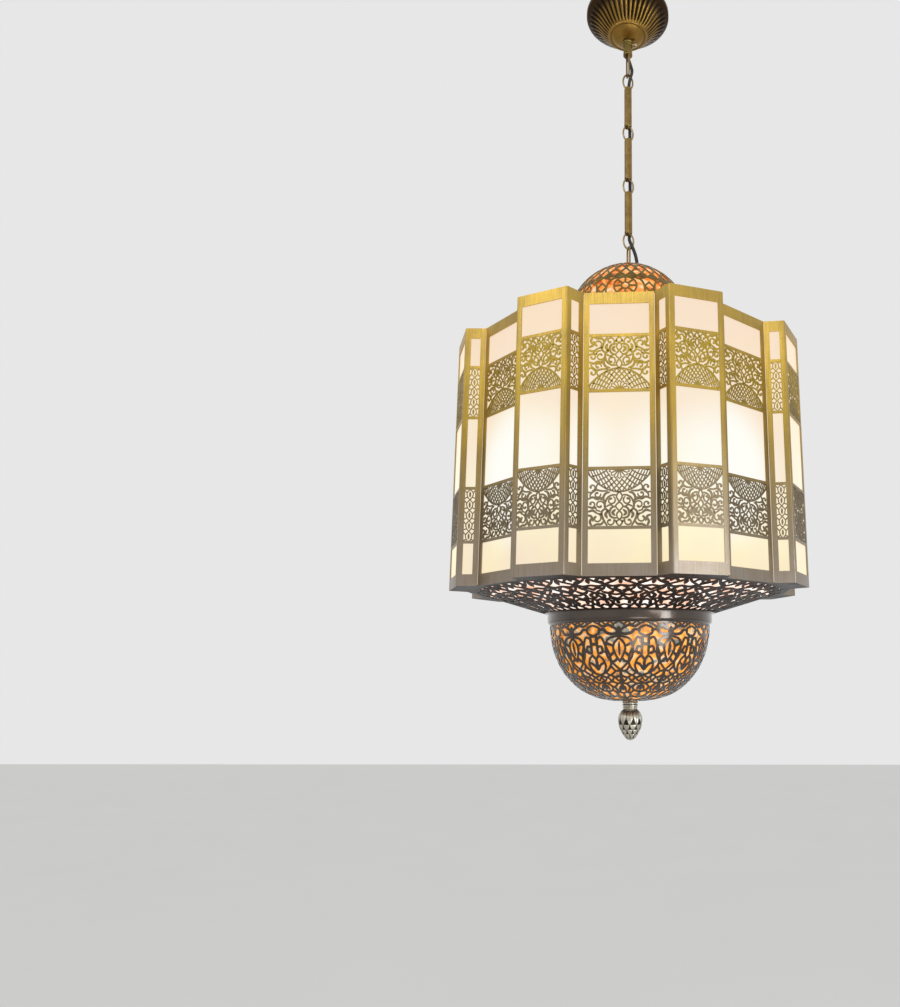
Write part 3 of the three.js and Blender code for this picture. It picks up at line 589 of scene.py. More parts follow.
def arabesque():
    """The scrolls between the net and a band's outer edge."""
    right = [
        bar([(0, 27.4), (3.1, 32.6), (0, 38.6)]),
        bar([(0, 38.6), (3.9, 43.2), (0, 48.4)]),
        bar([(0, 48.4), (2.7, 51.6), (2.1, 55.6), (0, 57.6)]),
        bar([(0, 57.6), (3.4, 60.4), (0, 65)]),
        scroll(8.6, 37.0, 4.8, -150, 330),
        bar([(3.8, 31.2), (7.6, 31.2), (12.2, 33.8), (15.2, 39.4), (15, 45.2), (11.6, 48.6)], end=1.6),
        bar([(3.9, 43.4), (8.4, 45.2), (10.6, 50.4), (8.4, 55.0), (3, 56.2)], belly=0.8),
        bar([(6.0, 44), (9.6, 41.8), (13.8, 43.6)], 1.6),
        bar([(4.2, 47.0), (7.2, 50.4), (4.6, 53.2)], belly=1.3),
        scroll(9.8, 60.0, 4.4, -120, 300),
        bar([(2.8, 60.4), (5.6, 57.8)], 1.6),
        bar([(14.8, 45.6), (18.8, 49.6), (17.4, 56.6), (12.6, 65)], belly=0.8),
        bar([(11.8, 48.2), (14.6, 52.0), (12.8, 56.0)], belly=1.4),
        scroll(20.8, 41.8, 4.8, -90, -310),
        bar([(15.2, 40.4), (17.0, 34.4), (14.8, 29.6), (10.2, 28.0)], belly=0.8),
        bar([(16.6, 36.2), (20.4, 35.6)], 1.6),
        scroll(23.8, 56.2, 5.2, 180, 320),
        bar([(23.8, 51), (28.2, 47.8), (33.4, 49.2)], belly=0.9),
        bar([(18.6, 52.0), (23.8, 51)], 1.6),
        bar([(16.6, 59.4), (19.4, 62.6), (24.2, 62.8), (28.6, 65)], belly=0.8),
        bar([(27.8, 59.4), (29.6, 54.4), (33.6, 52.8)], belly=0.9),
        bar([(29.4, 56.0), (31.2, 60.2), (29.2, 64.8)], belly=1.0),
        scroll(29.2, 41.0, 3.8, 20, -290),
        bar([(25.0, 44.2), (28.4, 45.0), (33.6, 43.4)], belly=0.6),
        bar([(18.4, 33.6), (23.4, 35.6), (28.2, 33.4), (33.6, 35.6)], belly=0.7),
        scroll(23.4, 30.4, 3.8, -100, 280),
        bar([(12.6, 26.6), (19.4, 26.6), (24.8, 25.4), (29.2, 28.2), (33.6, 27.8)], belly=0.4),
        bar([(29.0, 28.4), (31.2, 31.2), (30.2, 34.0)], 1.6),
        scroll(29.0, 22.6, 3.8, 0, -280),
        bar([(22.4, 18.6), (24.4, 21.4), (24.6, 25.2)]),
        bar([(20.4, 48.6), (24.0, 47.4), (25.2, 44.6)]),
    ]
    return both(right)


def band_bars():
    return lattice() + fan() + arabesque()


def side_bars():
    """The bars of one band on the narrow side of a box, about 12 mm wide."""
    right, middle = [], []
    for i in range(5):
        y = 3 + 12.6 * i
        right.append(bar([(0, y), (3.6, y + 4.4), (2.6, y + 9.4), (0, y + 12.6)], 1.1))
        right.append(bar([(3.6, y + 4.4), (6.2, y + 1.0)], 1.2))
        right.append(bar([(2.6, y + 9.4), (6.2, y + 11.0)], 1.2))
        middle.append(bar([(0, y + 3), (0, y + 9.4)], 0.9, belly=1.2))
    return both(right) + middle


def bowl_bars():
    """One tenth of the bowl: across in shares of half a sector, down in millimetres from the band."""
    right = [
        bar([(0, 0.6), (0.20, 3.6), (0.34, 0.6)], 2.2),
        bar([(0.34, 0.6), (0.52, 4.8), (0.66, 0.6)], 2.2),
        bar([(0.66, 0.6), (0.82, 4), (1.01, 0.6)], 2.2),
        bar([(0.2, 3.4), (0.4, 7), (0.62, 5.6), (0.84, 9), (1.01, 14)], 2.6, belly=0.8),
        bar([(0, 5.8), (0.24, 9), (0.22, 15), (0, 18)], 2.8),
        bar([(0.22, 11.4), (0.42, 10.6), (0.56, 14.6), (0.8, 15.8), (1.01, 14)], 2.8, belly=0.8),
        bar([(0.84, 3.4), (0.74, 8)], 2.4, 1.6),
        bar([(0.12, 17), (0.13, 41)], 3.7, 0.7),
        bar([(0.13, 22), (0.32, 19.6), (0.47, 30), (0.62, 42), (0.6, 54), (0.32, 63), (0, 67)], 2.7),
        bar([(1.01, 18), (0.62, 21), (0.47, 30), (0.52, 43), (0.74, 52), (1.01, 60)], 2.7),
        bar([(1.01, 20), (0.82, 26), (0.77, 33), (0.86, 41), (1.01, 49)], 2.7),
        bar([(0.13, 41), (0.3, 46), (0.38, 55), (0.22, 64.4)], 2.6),
        bar([(0.34, 50), (0.16, 53), (0, 60)], 2.4, belly=0.8),
        bar([(0.13, 32), (0.28, 30), (0.34, 36), (0.2, 38.6)], 2.4, 1.5),
        bar([(0.34, 36), (0.55, 38)], 2.4),
        bar([(0.77, 30), (0.56, 27), (0.47, 30)], 2.4, belly=0.8),
        bar([(0.78, 37), (0.62, 42)], 2.6, belly=0.6),
        bar([(0.9, 44), (0.8, 48), (0.6, 49)], 2.4, belly=0.8),
        bar([(1.01, 60), (0.78, 61), (0.6, 54)], 2.6),
        bar([(0, 67), (0.3, 70.5), (0.5, 67), (0.72, 70.5), (1.01, 67)], 2.6),
        bar([(0.32, 63), (0.5, 67), (0.76, 62)], 2.4),
        bar([(0, 70), (0.16, 76), (0.34, 70.4), (0.5, 76), (0.68, 70.4), (0.86, 76), (1.01, 70)], 2.3),
        bar([(0, 77), (0.2, 80.2), (0.5, 77.4), (0.8, 80.2), (1.01, 77)], 2.4),
        bar([(0.2, 79.8), (0.44, 86), (0.34, 93), (0, 97)], 2.6),
        bar([(0.8, 79.8), (0.6, 87), (0.72, 96), (1.02, 100)], 2.6),
        bar([(0.44, 86), (0.6, 87)], 2.6),
        bar([(0.14, 84), (0.2, 91)], 2.3, belly=0.6),
        bar([(0.86, 86), (0.84, 94)], 2.3, belly=0.6),
        bar([(0.34, 93), (0.56, 100), (0.42, 108), (0, 112)], 2.6),
        bar([(0.72, 96), (0.56, 104), (0.72, 112), (1.02, 116)], 2.6),
        bar([(0.42, 108), (0.5, 117), (0.3, 124), (0, 127)], 2.4),
        bar([(1.02, 116), (0.7, 122), (0.4, 121)], 2.4),
        bar([(0.3, 124), (0.5, 131), (0.5, 140)], 2.6),
    ]
    own = [
        bar([(-1, 0.4), (1, 0.4)], 2.9, steps=12),
        bar([(1, 7), (1, 21)], 2.0, belly=6),
        bar([(-0.13, 18.6), (0.13, 18.6)], 2.9),
        bar([(-0.13, 27.6), (0.13, 27.6)], 3.7),
        bar([(-0.13, 41), (0, 45.6), (0.13, 41)], 2.9),
        bar([(0, 45), (0, 56)], 2.2, belly=1.6),
        bar([(1, 25), (1, 41)], 1.7, belly=1.2),
        bar([(1, 60), (1, 76)], 2.4, belly=1.6),
        bar([(0, 77), (0, 92)], 2.4, belly=2.2),
        bar([(1, 79), (1, 92)], 2.4, belly=2.2),
        bar([(0, 97), (0, 112)], 2.4, belly=1.6),
        bar([(1, 100), (1, 116)], 2.2, belly=1.2),
        bar([(1, 116), (1, 140)], 2.6),
        bar([(0, 126), (0, 140)], 2.4),
        bar([(-1, 143.9), (1, 143.9)], 10.6, steps=6),
    ]
    return both(right) + own


def dome_flower():
    """A rosette of eight spokes between two hoops, in millimetres up the dome."""
    middle, hub, reach = 20, 5.2, 15
    bars = [hoop(0, middle, hub, hub, 2.0)]
    for i in range(8):
        a = math.radians(45 * i)
        spoke = [(r * math.sin(a), middle + r * math.cos(a)) for r in (hub, reach)]
        bars.append(bar(spoke, 2.5))
    return bars + [hoop(0, middle, reach, reach, 2.2, 24)]


def dome_bars():
    """One eighth of the dome: across in shares of half a sector, up in millimetres from the band."""
    right = [
        bar([(0, 1), (0.7, 8), (0.78, 20), (0.6, 32), (0, 37)], 2.5),
        bar([(0.7, 8), (1.01, 2)], 2.5),
        bar([(0.78, 20), (1.01, 12)], 2.5),
        bar([(0.78, 20), (1.01, 28)], 2.5),
        bar([(0.6, 32), (1.01, 38)], 2.5),
    ]
    own = [bar([(-1, level_at), (1, level_at)], 2.8, steps=10) for level_at in (0.6, 38)]
    own += [bar([(-1, 121), (1, 121)], 9, steps=6)]
    knots = [(0, 38), (0.34, 50), (0.62, 66), (0.9, 86), (1.1, 104), (1.25, 118)]
    for way in (1, -1):
        for start in (-1, -0.5, 0, 0.5):
            own.append(bar([(start + way * x, y) for x, y in knots], 2.5))
    for start in (-0.75, -0.25, 0.25, 0.75):
        own.append(bar([(start, 40), (start, 46)], 2.2, belly=2.2))
        own.append(bar([(start + 0.25, 58), (start + 0.25, 70)], 2.2, belly=1.6))
    return both(right) + own


def cone_bars():
    """One sixteenth of a cone: across in shares of half a sector, in from the rim in millimetres."""
    own = [bar([(-1, 1.6), (1, 1.6)], 4.2, steps=6), bar([(-1, 94.6), (1, 94.6)], 4.0, steps=6)]
    knots = [(0, 2), (0.2, 13), (0.5, 22), (0.62, 34), (0.96, 45), (1.08, 58), (1.42, 69), (1.56, 81),
             (1.9, 94)]
    for way in (1, -1):
        for start in (-1, 0):
            own.append(bar([(start + way * x, y) for x, y in knots], 3.4, steps=3))
    for start in (-0.5, 0.5):
        own.append(bar([(start, 2), (start, 12)], 1.6, belly=3.6))
        own.append(bar([(start - 0.5, 8), (start - 0.5, 19)], 1.6, belly=3.4))
    right = [
        bar([(0.26, 13), (0.36, 6.5), (0.64, 6.5), (0.72, 13), (0.56, 17)], 3.1, 1.7),
        bar([(0.5, 22), (0.28, 27), (0, 24)], 3.1, belly=1.0),
        bar([(0.5, 22), (0.74, 27), (1.01, 24)], 3.1, belly=1.0),
        bar([(0, 24), (0.22, 33), (0.06, 40)], 3.1, 1.6),
        bar([(0.62, 34), (0.84, 32), (1.01, 38)], 3.1, belly=1.2),
        bar([(0.3, 40), (0.5, 47), (0.72, 42)], 3.1, belly=1.6),
        bar([(0, 48), (0.26, 52), (0.5, 47)], 3.1, belly=0.8),
        bar([(0.5, 47), (0.5, 58), (0.34, 62)], 3.1, 1.7),
        bar([(0.96, 45), (0.74, 52), (0.78, 60)], 3.1, 1.7),
        bar([(0, 64), (0.3, 68), (0.54, 62), (0.8, 68), (1.01, 64)], 3.1, belly=0.6),
        bar([(0.3, 68), (0.24, 77)], 2.9, 1.8),
        bar([(0.8, 68), (0.76, 78)], 2.9, 1.8),
        bar([(0, 80), (0.28, 84), (0.52, 79), (0.78, 84), (1.01, 80)], 3.1, belly=0.6),
        bar([(0.28, 84), (0.28, 94)], 2.9),
        bar([(0.78, 84), (0.78, 94)], 2.9),
    ]
    return both(right) + own


def ribbons(bars, base):
    """One flat strip for each bar, each a little higher than the one before, up to a few levels."""
    strips = []
    for number, line in enumerate(bars):
        steps = len(line) - 1
        bpy.ops.object.select_all(action="DESELECT")
        bpy.ops.mesh.primitive_grid_add(x_subdivisions=steps, y_subdivisions=1, size=2)
        strip = bpy.context.object
        for point in strip.data.vertices:
            i = round((point.co.x + 1) / 2 * steps)
            x, y, half = line[i]
            before, after = line[max(i - 1, 0)], line[min(i + 1, steps)]
            way = Vector((after[0] - before[0], after[1] - before[1])).normalized()
            side = half if point.co.y > 0 else -half
            past = half * 0.6 * ((i == steps) - (i == 0))
            narrow = 0.5 if i in (0, steps) else 1.0
            point.co = (x - way.y * side * narrow + way.x * past, y + way.x * side * narrow + way.y * past,
                        base + BAR_LEVEL_STEP * (number % BAR_LEVELS))
        strips.append(strip)
    return join(strips)


# The body's plan

def out_of(angle):
    """The way out of a face of the body. At 0 it looks to the front, along -Y."""
    return Vector((math.sin(angle), -math.cos(angle), 0))


def along(angle):
    return Vector((math.cos(angle), math.sin(angle), 0))


def face_angle(k):
    return k * math.pi / 8


def star_corners():
    """The corners of the star, in millimetres: recessed faces are even, boxes odd."""
    corners = []
    for k in range(16):
        apothem, width = (BOX_APOTHEM, BOX_WIDTH) if k % 2 else (FACE_APOTHEM, FACE_WIDTH)
        for side in (-width / 2, width / 2):
            corners.append(out_of(face_angle(k)) * apothem + along(face_angle(k)) * side)
    return corners


STAR = star_corners()


def folded_line(corners, radius):
    """Follows a line of corners with rounded folds: a distance gives the place and the way out."""
    lengths = [(b - a).length for a, b in zip(corners, corners[1:])]
    ways = [(b - a).normalized() for a, b in zip(corners, corners[1:])]
    starts = [sum(lengths[:i]) for i in range(len(lengths) + 1)]
    folds = []
    for i in range(1, len(ways)):
        turn = ways[i - 1].angle(ways[i])
        folds.append((starts[i], radius * math.tan(turn / 2), turn, i))

    def at(distance):
        for middle, reach, turn, i in folds:
            if abs(distance - middle) < reach:
                share = (distance - middle + reach) / (2 * reach)
                side = 1 if ways[i - 1].cross(ways[i]).z > 0 else -1
                way = Matrix.Rotation(side * turn * share, 3, "Z") @ ways[i - 1]
                first = corners[i] - ways[i - 1] * reach
                out = Vector((ways[i - 1].y, -ways[i - 1].x, 0))
                centre = first - side * out * radius
                return centre + side * radius * Vector((way.y, -way.x, 0)), Vector((way.y, -way.x, 0))
        i = max(k for k in range(len(ways)) if starts[k] <= distance + 1e-9 or k == 0)
        return corners[i] + ways[i] * (distance - starts[i]), Vector((ways[i].y, -ways[i].x, 0))

    return at, folds


BODY_HEIGHT = 2 * (RIM + SMALL_WINDOW + BAND) + MID_WINDOW
WINDOWS = [
    (RIM, RIM + SMALL_WINDOW),
    (RIM + SMALL_WINDOW + BAND, RIM + SMALL_WINDOW + BAND + MID_WINDOW),
    (BODY_HEIGHT - RIM - SMALL_WINDOW, BODY_HEIGHT - RIM),
]
BANDS = [(WINDOWS[1][0], -1), (WINDOWS[1][1], 1)]
NET_LOW, NET_HIGH = 3.4, 64.6
PLATE_GAP, BARS_BEHIND, FRONT_SHARE = 0.3, -0.35, 26.2 / 33.25


def plate_holes(middle, half):
    """Three windows of a plate and the two openings that its bars cross."""
    cuts = [rectangle(middle - half, middle + half, low, high) for low, high in WINDOWS]
    for near, way in BANDS:
        ends = sorted((near + way * NET_LOW, near + way * NET_HIGH))
        cuts.append(rectangle(middle - half, middle + half, *ends))
    return cuts


def plate_bars(middle, bars):
    """The bars of both bands of a plate, about its middle line."""
    made = []
    for near, way in BANDS:
        for line in bars:
            made.append([(middle + x, near + way * y, half * PLATE_BAR_GROWTH) for x, y, half in line])
    return made


def barred_plate(plate, net, place, way):
    """Brings a flat plate and its bars to their place, gives both a wall and joins them."""
    for sheet, thick in ((plate, SHEET), (net, BAR_SHEET)):
        move_points(sheet, place)
        point_out(sheet, lambda centre: way)
        wall(sheet, thick)
    paint(plate, TOP_LIT_BRASS)
    paint(net, TOP_LIT_BAR_BRASS)
    return join([plate, net])


def recessed_panel():
    """The first recessed face, a flat pierced plate that looks towards -Y."""
    half = FACE_WIDTH / 2 - PLATE_GAP

    def place(p):
        return Vector((p.x * MM, (-FACE_APOTHEM - p.z) * MM, (BODY_FOOT + p.y) * MM))

    plate = flat_sheet(rectangle(-half, half, 0, BODY_HEIGHT), plate_holes(0, FACE_WIDTH / 2 - POST))
    net = ribbons(plate_bars(0, band_bars()), BARS_BEHIND)
    return barred_plate(plate, net, place, out_of(0))


def box_panel():
    """The first box: one blank with a front and two sides, folded along the star."""
    corners = STAR[1:5]
    fold_radius = 1.8
    at, folds = folded_line(corners, fold_radius)
    side = (corners[1] - corners[0]).length
    front = (corners[2] - corners[1]).length
    whole = 2 * side + front
    narrow = side / 2 - SIDE_POST
    middles = [side / 2, side + front / 2, whole - side / 2]
    halves = [narrow, front / 2 - POST, narrow]
    patterns = [side_bars(), shrunk(band_bars(), FRONT_SHARE), side_bars()]
    cuts, bars = [], []
    for middle, half, pattern in zip(middles, halves, patterns):
        cuts += plate_holes(middle, half)
        bars += plate_bars(middle, pattern)
    plate = flat_sheet(rectangle(PLATE_GAP, whole - PLATE_GAP, 0, BODY_HEIGHT), cuts)
    shares = (-1, -0.5, 0, 0.5, 1)
    rule(plate, across=[middle + reach * share for middle, reach, _, _ in folds for share in shares])
    net = ribbons(bars, BARS_BEHIND)

    def place(p):
        spot, out = at(p.x)
        spot = spot + out * p.z
        return Vector((spot.x * MM, spot.y * MM, (BODY_FOOT + p.y) * MM))

    return barred_plate(plate, net, place, out_of(face_angle(1)))


# Canopy, collar and screw

def canopy():
    """A turned cover whose middle zone is pressed into ribs."""
    ribs, rib_depth = 40, 1.5
    line = [(61.7, 0), (61.7, -5.4), (60.9, -6.2), (58.9, -7.6), (57.4, -8.4)]
    ribbed = [(56.4, -9.2), (54.5, -10.9), (52, -13.0), (49, -15.4), (45.7, -18.0), (42.6, -21.2),
              (39.4, -24.9), (36.6, -28.4), (33.4, -31.6), (30.4, -34.1), (29.2, -35.1)]
    bead = [(28.6, -35.6), (28.8, -36.6), (28.1, -37.6), (26.9, -38.0), (25.8, -37.5), (25.2, -37.1)]
    bowl = [(24, -38.1), (21.4, -40.2), (18, -42.2), (14, -44.0), (10.4, -45.2), (7.6, -46.2), (5.0, -46.4)]
    inner = [(5.0, -44.8), (16, -41.2), (26.5, -34.2), (34.6, -27.2), (45.7, -14.6), (56.6, -5.6),
             (60.2, -4.6), (60.2, 0)]
    piece = turned(line + ribbed + bead + bowl + inner, 320)
    # Painted shade: the rib valleys get a groove value, which the finish darkens.
    groove_shade = piece.data.attributes.new("groove_shade", "FLOAT", "POINT")
    outer = {(round(r, 2), round(z, 2)) for r, z in ribbed}
    for i, point in enumerate(piece.data.vertices):
        r, z = math.hypot(point.co.x, point.co.y) / MM, point.co.z / MM
        if min(abs(r - a) + abs(z - b) for a, b in outer) < 0.02:
            turn = math.atan2(point.co.y, point.co.x) * ribs
            rise = abs(math.cos(turn / 2)) ** 1.3
            ends = max(0.0, min(1, (57.2 - r) / 3, (r - 28.2) / 3))
            groove_shade.data[i].value = max(0.0, min(1.0, (0.86 - rise) / 0.3)) * ends
            deep = rib_depth * (1 - rise) * ends
            point.co.z += deep * MM
            point.co.x *= 1 - deep * 0.5 / r
            point.co.y *= 1 - deep * 0.5 / r
    smooth(piece, 50)
    return hang(piece, "canopy_cover", SHADED_CANOPY_BRASS, "ceiling", ["canopy"])


def collar():
    top = -46.7
    line = [(5, -67.2), (6.2, -67.2), (6.6, -66.8), (6.6, top - 8.2), (7.2, top - 8), (7.8, top - 7.2),
            (7.2, top - 6.4), (6.6, top - 6.2), (6.6, top - 4.4), (7.2, top - 4.1), (8.3, top - 3),
            (8.4, top - 2.4), (7.9, top - 1.4), (7.6, top), (5, top)]
    piece = turned(line, 40)
    smooth(piece, 40)
    return hang(piece, "collar_sleeve", DOME_BRASS, "ceiling", ["canopy_collar"])


def set_screw():
    line = [(0, 4.9), (1.9, 4.9), (1.9, 9.9), (3.0, 9.9), (3.4, 10.3), (3.4, 12.8), (3.1, 13.4), (2.2, 13.8),
            (0, 13.9)]
    piece = turned(line, 24)
    move_points(piece, lambda p: Vector((p.z, p.y, -51.9 * MM - p.x)))
    smooth(piece, 40)
    return hang(piece, "set_screw", BRIGHT_WIRE, "set_screw", ["canopy_set_screw"])


# Chain

def in_plane(way, u, z):
    return way * u + Vector((0, 0, z))


def wire_eye(eye, half, end, way, steps):
    """A wire bent to a U across the rings. Its bend lies at the eye, and its two legs go to the end level."""
    points = [in_plane(THROUGH, half, end)]
    for i in range(steps + 1):
        turn = i / steps * math.pi
        points.append(in_plane(THROUGH, half * math.cos(turn), eye + way * half * (1 - math.sin(turn))))
    points.append(in_plane(THROUGH, -half, end))
    return wire(points, CHAIN_WIRE)


def long_loop(eye, disc_face, way):
    return wire_eye(eye, 5.7, disc_face + way, way, 16)


def hook_loop():
    top = -67.5
    line = [(3.1, top - 3), (6.4, top - 3), (6.9, top - 2.4), (6.9, top - 0.6), (6.4, top), (4.6, top),
            (4.6, -20.7), (7.1, -20.7), (7.1, -17.5), (3.1, -17.5)]
    disc = turned(line, 32)
    piece = join([disc, long_loop(HINGES[0], top - 3, 1)])
    smooth(piece, 40)
    return hang(piece, "hook_loop_wire", CHAIN_BRASS, "ceiling", ["hook_loop"])


def lamp_loop():
    end = -415.1
    line = [(0, end - 3), (8.0, end - 3), (8.6, end - 2.5), (8.6, end - 0.6), (8.0, end), (0, end)]
    disc = turned(line, 32)
    piece = join([disc, long_loop(HINGES[-1] + LINK_LIFT, end, -1)])
    smooth(piece, 40)
    return hang(piece, "lamp_loop_wire", CHAIN_BRASS, "lantern", ["lamp_loop"])


def ring(k, upper):
    """An oval wire ring. Its top bend lies over the upper eye, and its bottom bend under the next one."""
    half_width, half_height = 7.4, 12.35
    middle = upper + LINK_LIFT - half_height
    points = []
    for i in range(40):
        turn = i / 40 * 2 * math.pi
        points.append(in_plane(ACROSS, half_width * math.cos(turn), middle + half_height * math.sin(turn)))
    piece = wire(points, CHAIN_WIRE, closed=True)
    smooth(piece, 60)
    return hang(piece, f"ring_wire_{k}", BRIGHT_WIRE, f"ring_{k}", [f"chain_ring_{k}"])


def tube_eye(eye, way):
    return wire_eye(eye, 3.3, eye + way * 9, way, 12)


def tube_link(k, upper):
    """A tube with a notch at each end, where the wire eye comes out. Upper is its top eye's level."""
    eye_reach, length = 0.9, 65.4
    top = upper - eye_reach
    low = top - length
    line = [(4.3, low), (5.1, low), (5.5, low + 0.5), (5.5, top - 0.5), (5.1, top), (4.3, top)]
    sleeve = turned(line, 40)
    for level_at in (low, top):
        bpy.ops.mesh.primitive_cube_add(size=1)
        notch = bpy.context.object
        turned_across = Matrix.Rotation(math.radians(20), 4, "Z") @ Matrix.Diagonal((0.02, 0.0046, 0.0064, 1))
        notch.data.transform(Matrix.Translation((0, 0, level_at * MM)) @ turned_across)
        cut = sleeve.modifiers.new("notch", "BOOLEAN")
        cut.object = notch
        cut.operation = "DIFFERENCE"
        only(sleeve)
        bpy.ops.object.modifier_apply(modifier=cut.name)
        bpy.data.objects.remove(notch)
    smooth(sleeve, 35)
    piece = join([sleeve, tube_eye(upper, -1), tube_eye(low - eye_reach, 1)])
    return hang(piece, f"tube_sleeve_{k}", CHAIN_BRASS, f"tube_{k}", [f"tube_link_{k}"])


# Flex

def flex_route():
    """The flex's points in millimetres, as in the CAD model: across and behind the chain."""
    points = [(0, 0, -32), (0, 0, -69.2), (1.2, 0, -76.2), (4.6, -0.6, -88.2), (4.6, -5.2, -101.3),
              (2.2, 0, -115.15), (3.8, 8.6, -125)]
    for top in (-126.0, -212.1, -298.2):
        points += [(5, 7.8, top - 12), (5, 7.8, top - 53.4)]
    points += [(3.8, 8.6, -364.6), (2.2, 0, -374.45), (5.4, -5.2, -388.3), (9.4, -3.4, -397.1),
               (12.8, 0, -410.1), (12.8, 0, -448.4), (12.8, 0, -706)]
    return [ACROSS * u + THROUGH * v + Vector((0, 0, z)) for u, v, z in points]


def bent_through(points, steps):
    """A smooth line through points, spaced as the CAD model's."""
    ends = [2 * points[0] - points[1], *points, 2 * points[-1] - points[-2]]
    line = []

    def part_way(first, second, low, high, at):
        return first * ((high - at) / (high - low)) + second * ((at - low) / (high - low))

    for i in range(1, len(ends) - 2):
        p = ends[i - 1:i + 3]
        t = [0.0]
        for a, b in zip(p, p[1:]):
            t.append(t[-1] + math.sqrt((b - a).length))
        for k in range(steps):
            at = t[1] + (t[2] - t[1]) * k / steps
            legs = [part_way(p[j], p[j + 1], t[j], t[j + 1], at) for j in range(3)]
            inner = [part_way(legs[j], legs[j + 1], t[j], t[j + 2], at) for j in range(2)]
            line.append(part_way(inner[0], inner[1], t[1], t[2], at))
    line.append(points[-1].copy())
    return line


def cut_at(line, level_at):
    """Splits a falling line at a level."""
    for i, (a, b) in enumerate(zip(line, line[1:])):
        if a.z > level_at >= b.z:
            middle = a.lerp(b, (a.z - level_at) / (a.z - b.z))
            return line[:i + 1] + [middle], [middle] + line[i + 1:]
    return line, []


def flex():
    """Eight lengths of flex, cut halfway between the hinges of the chain."""
    line = bent_through(flex_route(), 10)
    for i, hinge in enumerate(HINGES):
        if i < len(HINGES) - 1:
            part, line = cut_at(line, (hinge + HINGES[i + 1]) / 2)
        else:
            part = line
        piece = wire(part, FLEX_RADIUS)
        piece.name = f"flex_{i + 1}"
        piece.data.materials.append(FLEX)
        smooth(piece, 60)
        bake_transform(piece)
        if i == 0:
            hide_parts("power_cord")


# Pierced shells

def along_profile(profile):
    """A distance down a half profile gives its radius and level."""
    steps = [math.hypot(b[0] - a[0], b[1] - a[1]) for a, b in zip(profile, profile[1:])]

    def at(distance):
        for (r0, z0), (r1, z1), step in zip(profile, profile[1:], steps):
            if distance <= step or step is steps[-1] and distance <= step + 1e-3:
                share = min(distance / step, 1.0)
                return r0 + (r1 - r0) * share, z0 + (z1 - z0) * share
            distance -= step
        return profile[-1]

    return at, sum(steps)


def barred_shell(profile, count, shares, plain, phase, out=1):
    """One sector of a shell of crossing bars on a turned form."""
    at, length = along_profile(profile)
    bars = [[(x * at(y)[0] * math.pi / count, y, half) for x, y, half in line] for line in shares]
    net = ribbons(bars + plain, -0.3)

    def place(p):
        r, z = at(min(max(p.y, 0), length))
        below, above = at(min(max(p.y - 0.5, 0), length)), at(min(max(p.y + 0.5, 0), length))
        way = Vector((above[0] - below[0], above[1] - below[1])).normalized()
        turn = phase - math.pi / 2 + p.x / r
        r += p.z * abs(way.y)
        z += p.z * abs(way.x) * out
        return Vector((r * math.cos(turn), r * math.sin(turn), z)) * MM

    move_points(net, place)
    point_out(net, lambda c: Vector((c.x, c.y, 0)).normalized() + Vector((0, 0, 0.4 * out)))
    return net


def turned_copies(piece, count):
    """Copies a sector round the axis, without welding it."""
    start_edit(piece)
    for _ in range(count - 1):
        bpy.ops.mesh.duplicate()
        bpy.ops.transform.rotate(value=2 * math.pi / count, orient_axis="Z", center_override=(0, 0, 0))
    end_edit()


def arc_profile(steps):
    """The dome's half profile, from its band up."""
    line = []
    for i in range(steps + 1):
        t = math.radians(0.5 + (84.5 - 0.5) * i / steps)
        line.append((DOME_RADIUS * math.cos(t), DOME_CENTRE + DOME_RADIUS * math.sin(t)))
    return line


def belly_profile(steps):
    """The bowl's half profile, from its band down to the finial."""
    foot_radius, depth = 9.4, 95
    line = []
    for i in range(steps + 1):
        t = math.pi / 2 * i / steps
        r = foot_radius + (BOWL_RADIUS - 3 - foot_radius) * math.cos(t) ** 0.86
        line.append((r, BOWL_BAND_END - depth * math.sin(t)))
    return line


ROOF_LINE = [(CONE_RIM, BODY_TOP), (83.9, -519.4)]
FUNNEL_LINE = [(CONE_RIM, BODY_FOOT), (103.8, -899.7)]


def dome():
    shell = barred_shell(arc_profile(60), 8, dome_bars(), dome_flower(), 0)
    wall(shell, SHELL_SHEET)
    turned_copies(shell, 8)
    rim_line = [(85, -503.2), (85, -517.6), (85.6, -518.2), (85.6, -519.0), (83.6, -519.0), (83.6, -503.2)]
    rim = turned(rim_line, 160)
    cap = turned([(4, -418.5), (12, -419.0), (15.5, -419.8), (15.5, -421.0), (4, -419.8)], 48)
    piece = join([shell, rim, cap])
    smooth(piece, 35)
    return hang(piece, "dome_shell", DOME_BRASS, "lantern", ["dome"])


def cone(name, line, out, nodes, plain_from=None):
    """A shallow cone of bars. Inside the radius plain_from it is a plain ring with a bead."""
    shell = barred_shell(line, 16, cone_bars(), [], 0, out)
    wall(shell, SHELL_SHEET)
    turned_copies(shell, 16)
    if plain_from:
        (rim, rim_level), (end, end_level) = line
        slope = (end_level - rim_level) / (rim - end)
        face = [(plain_from, 0), (plain_from - 5, 0), (plain_from - 6, 0.8), (plain_from - 7.5, 1.1),
                (plain_from - 9, 0.8), (plain_from - 10, 0), (end, 0), (end, -1.2), (plain_from, -1.2)]
        ring_face = turned([(r, end_level - slope * (r - end) + up) for r, up in face], 160)
        shell = join([shell, ring_face])
    smooth(shell, 35)
    return hang(shell, name, CONE_BRONZE, "lantern", nodes)


def bowl():
    shell = barred_shell(belly_profile(80), 10, bowl_bars(), [], math.radians(13.7), -1)
    wall(shell, SHELL_SHEET)
    turned_copies(shell, 10)
    band_line = [(104.9, -900.6), (104.9, -908.6), (104.6, -910.2), (103.4, -911.7), (101.9, -912.6),
                 (100.6, -911.9), (103.2, -909.6), (103.6, -899.2), (108.6, -897.7), (108.8, -898.9),
                 (105.4, -899.9)]
    piece = join([shell, turned(band_line, 160)])
    smooth(piece, 35)
    return hang(piece, "bowl_shell", BRONZE, "lantern", ["bowl"])


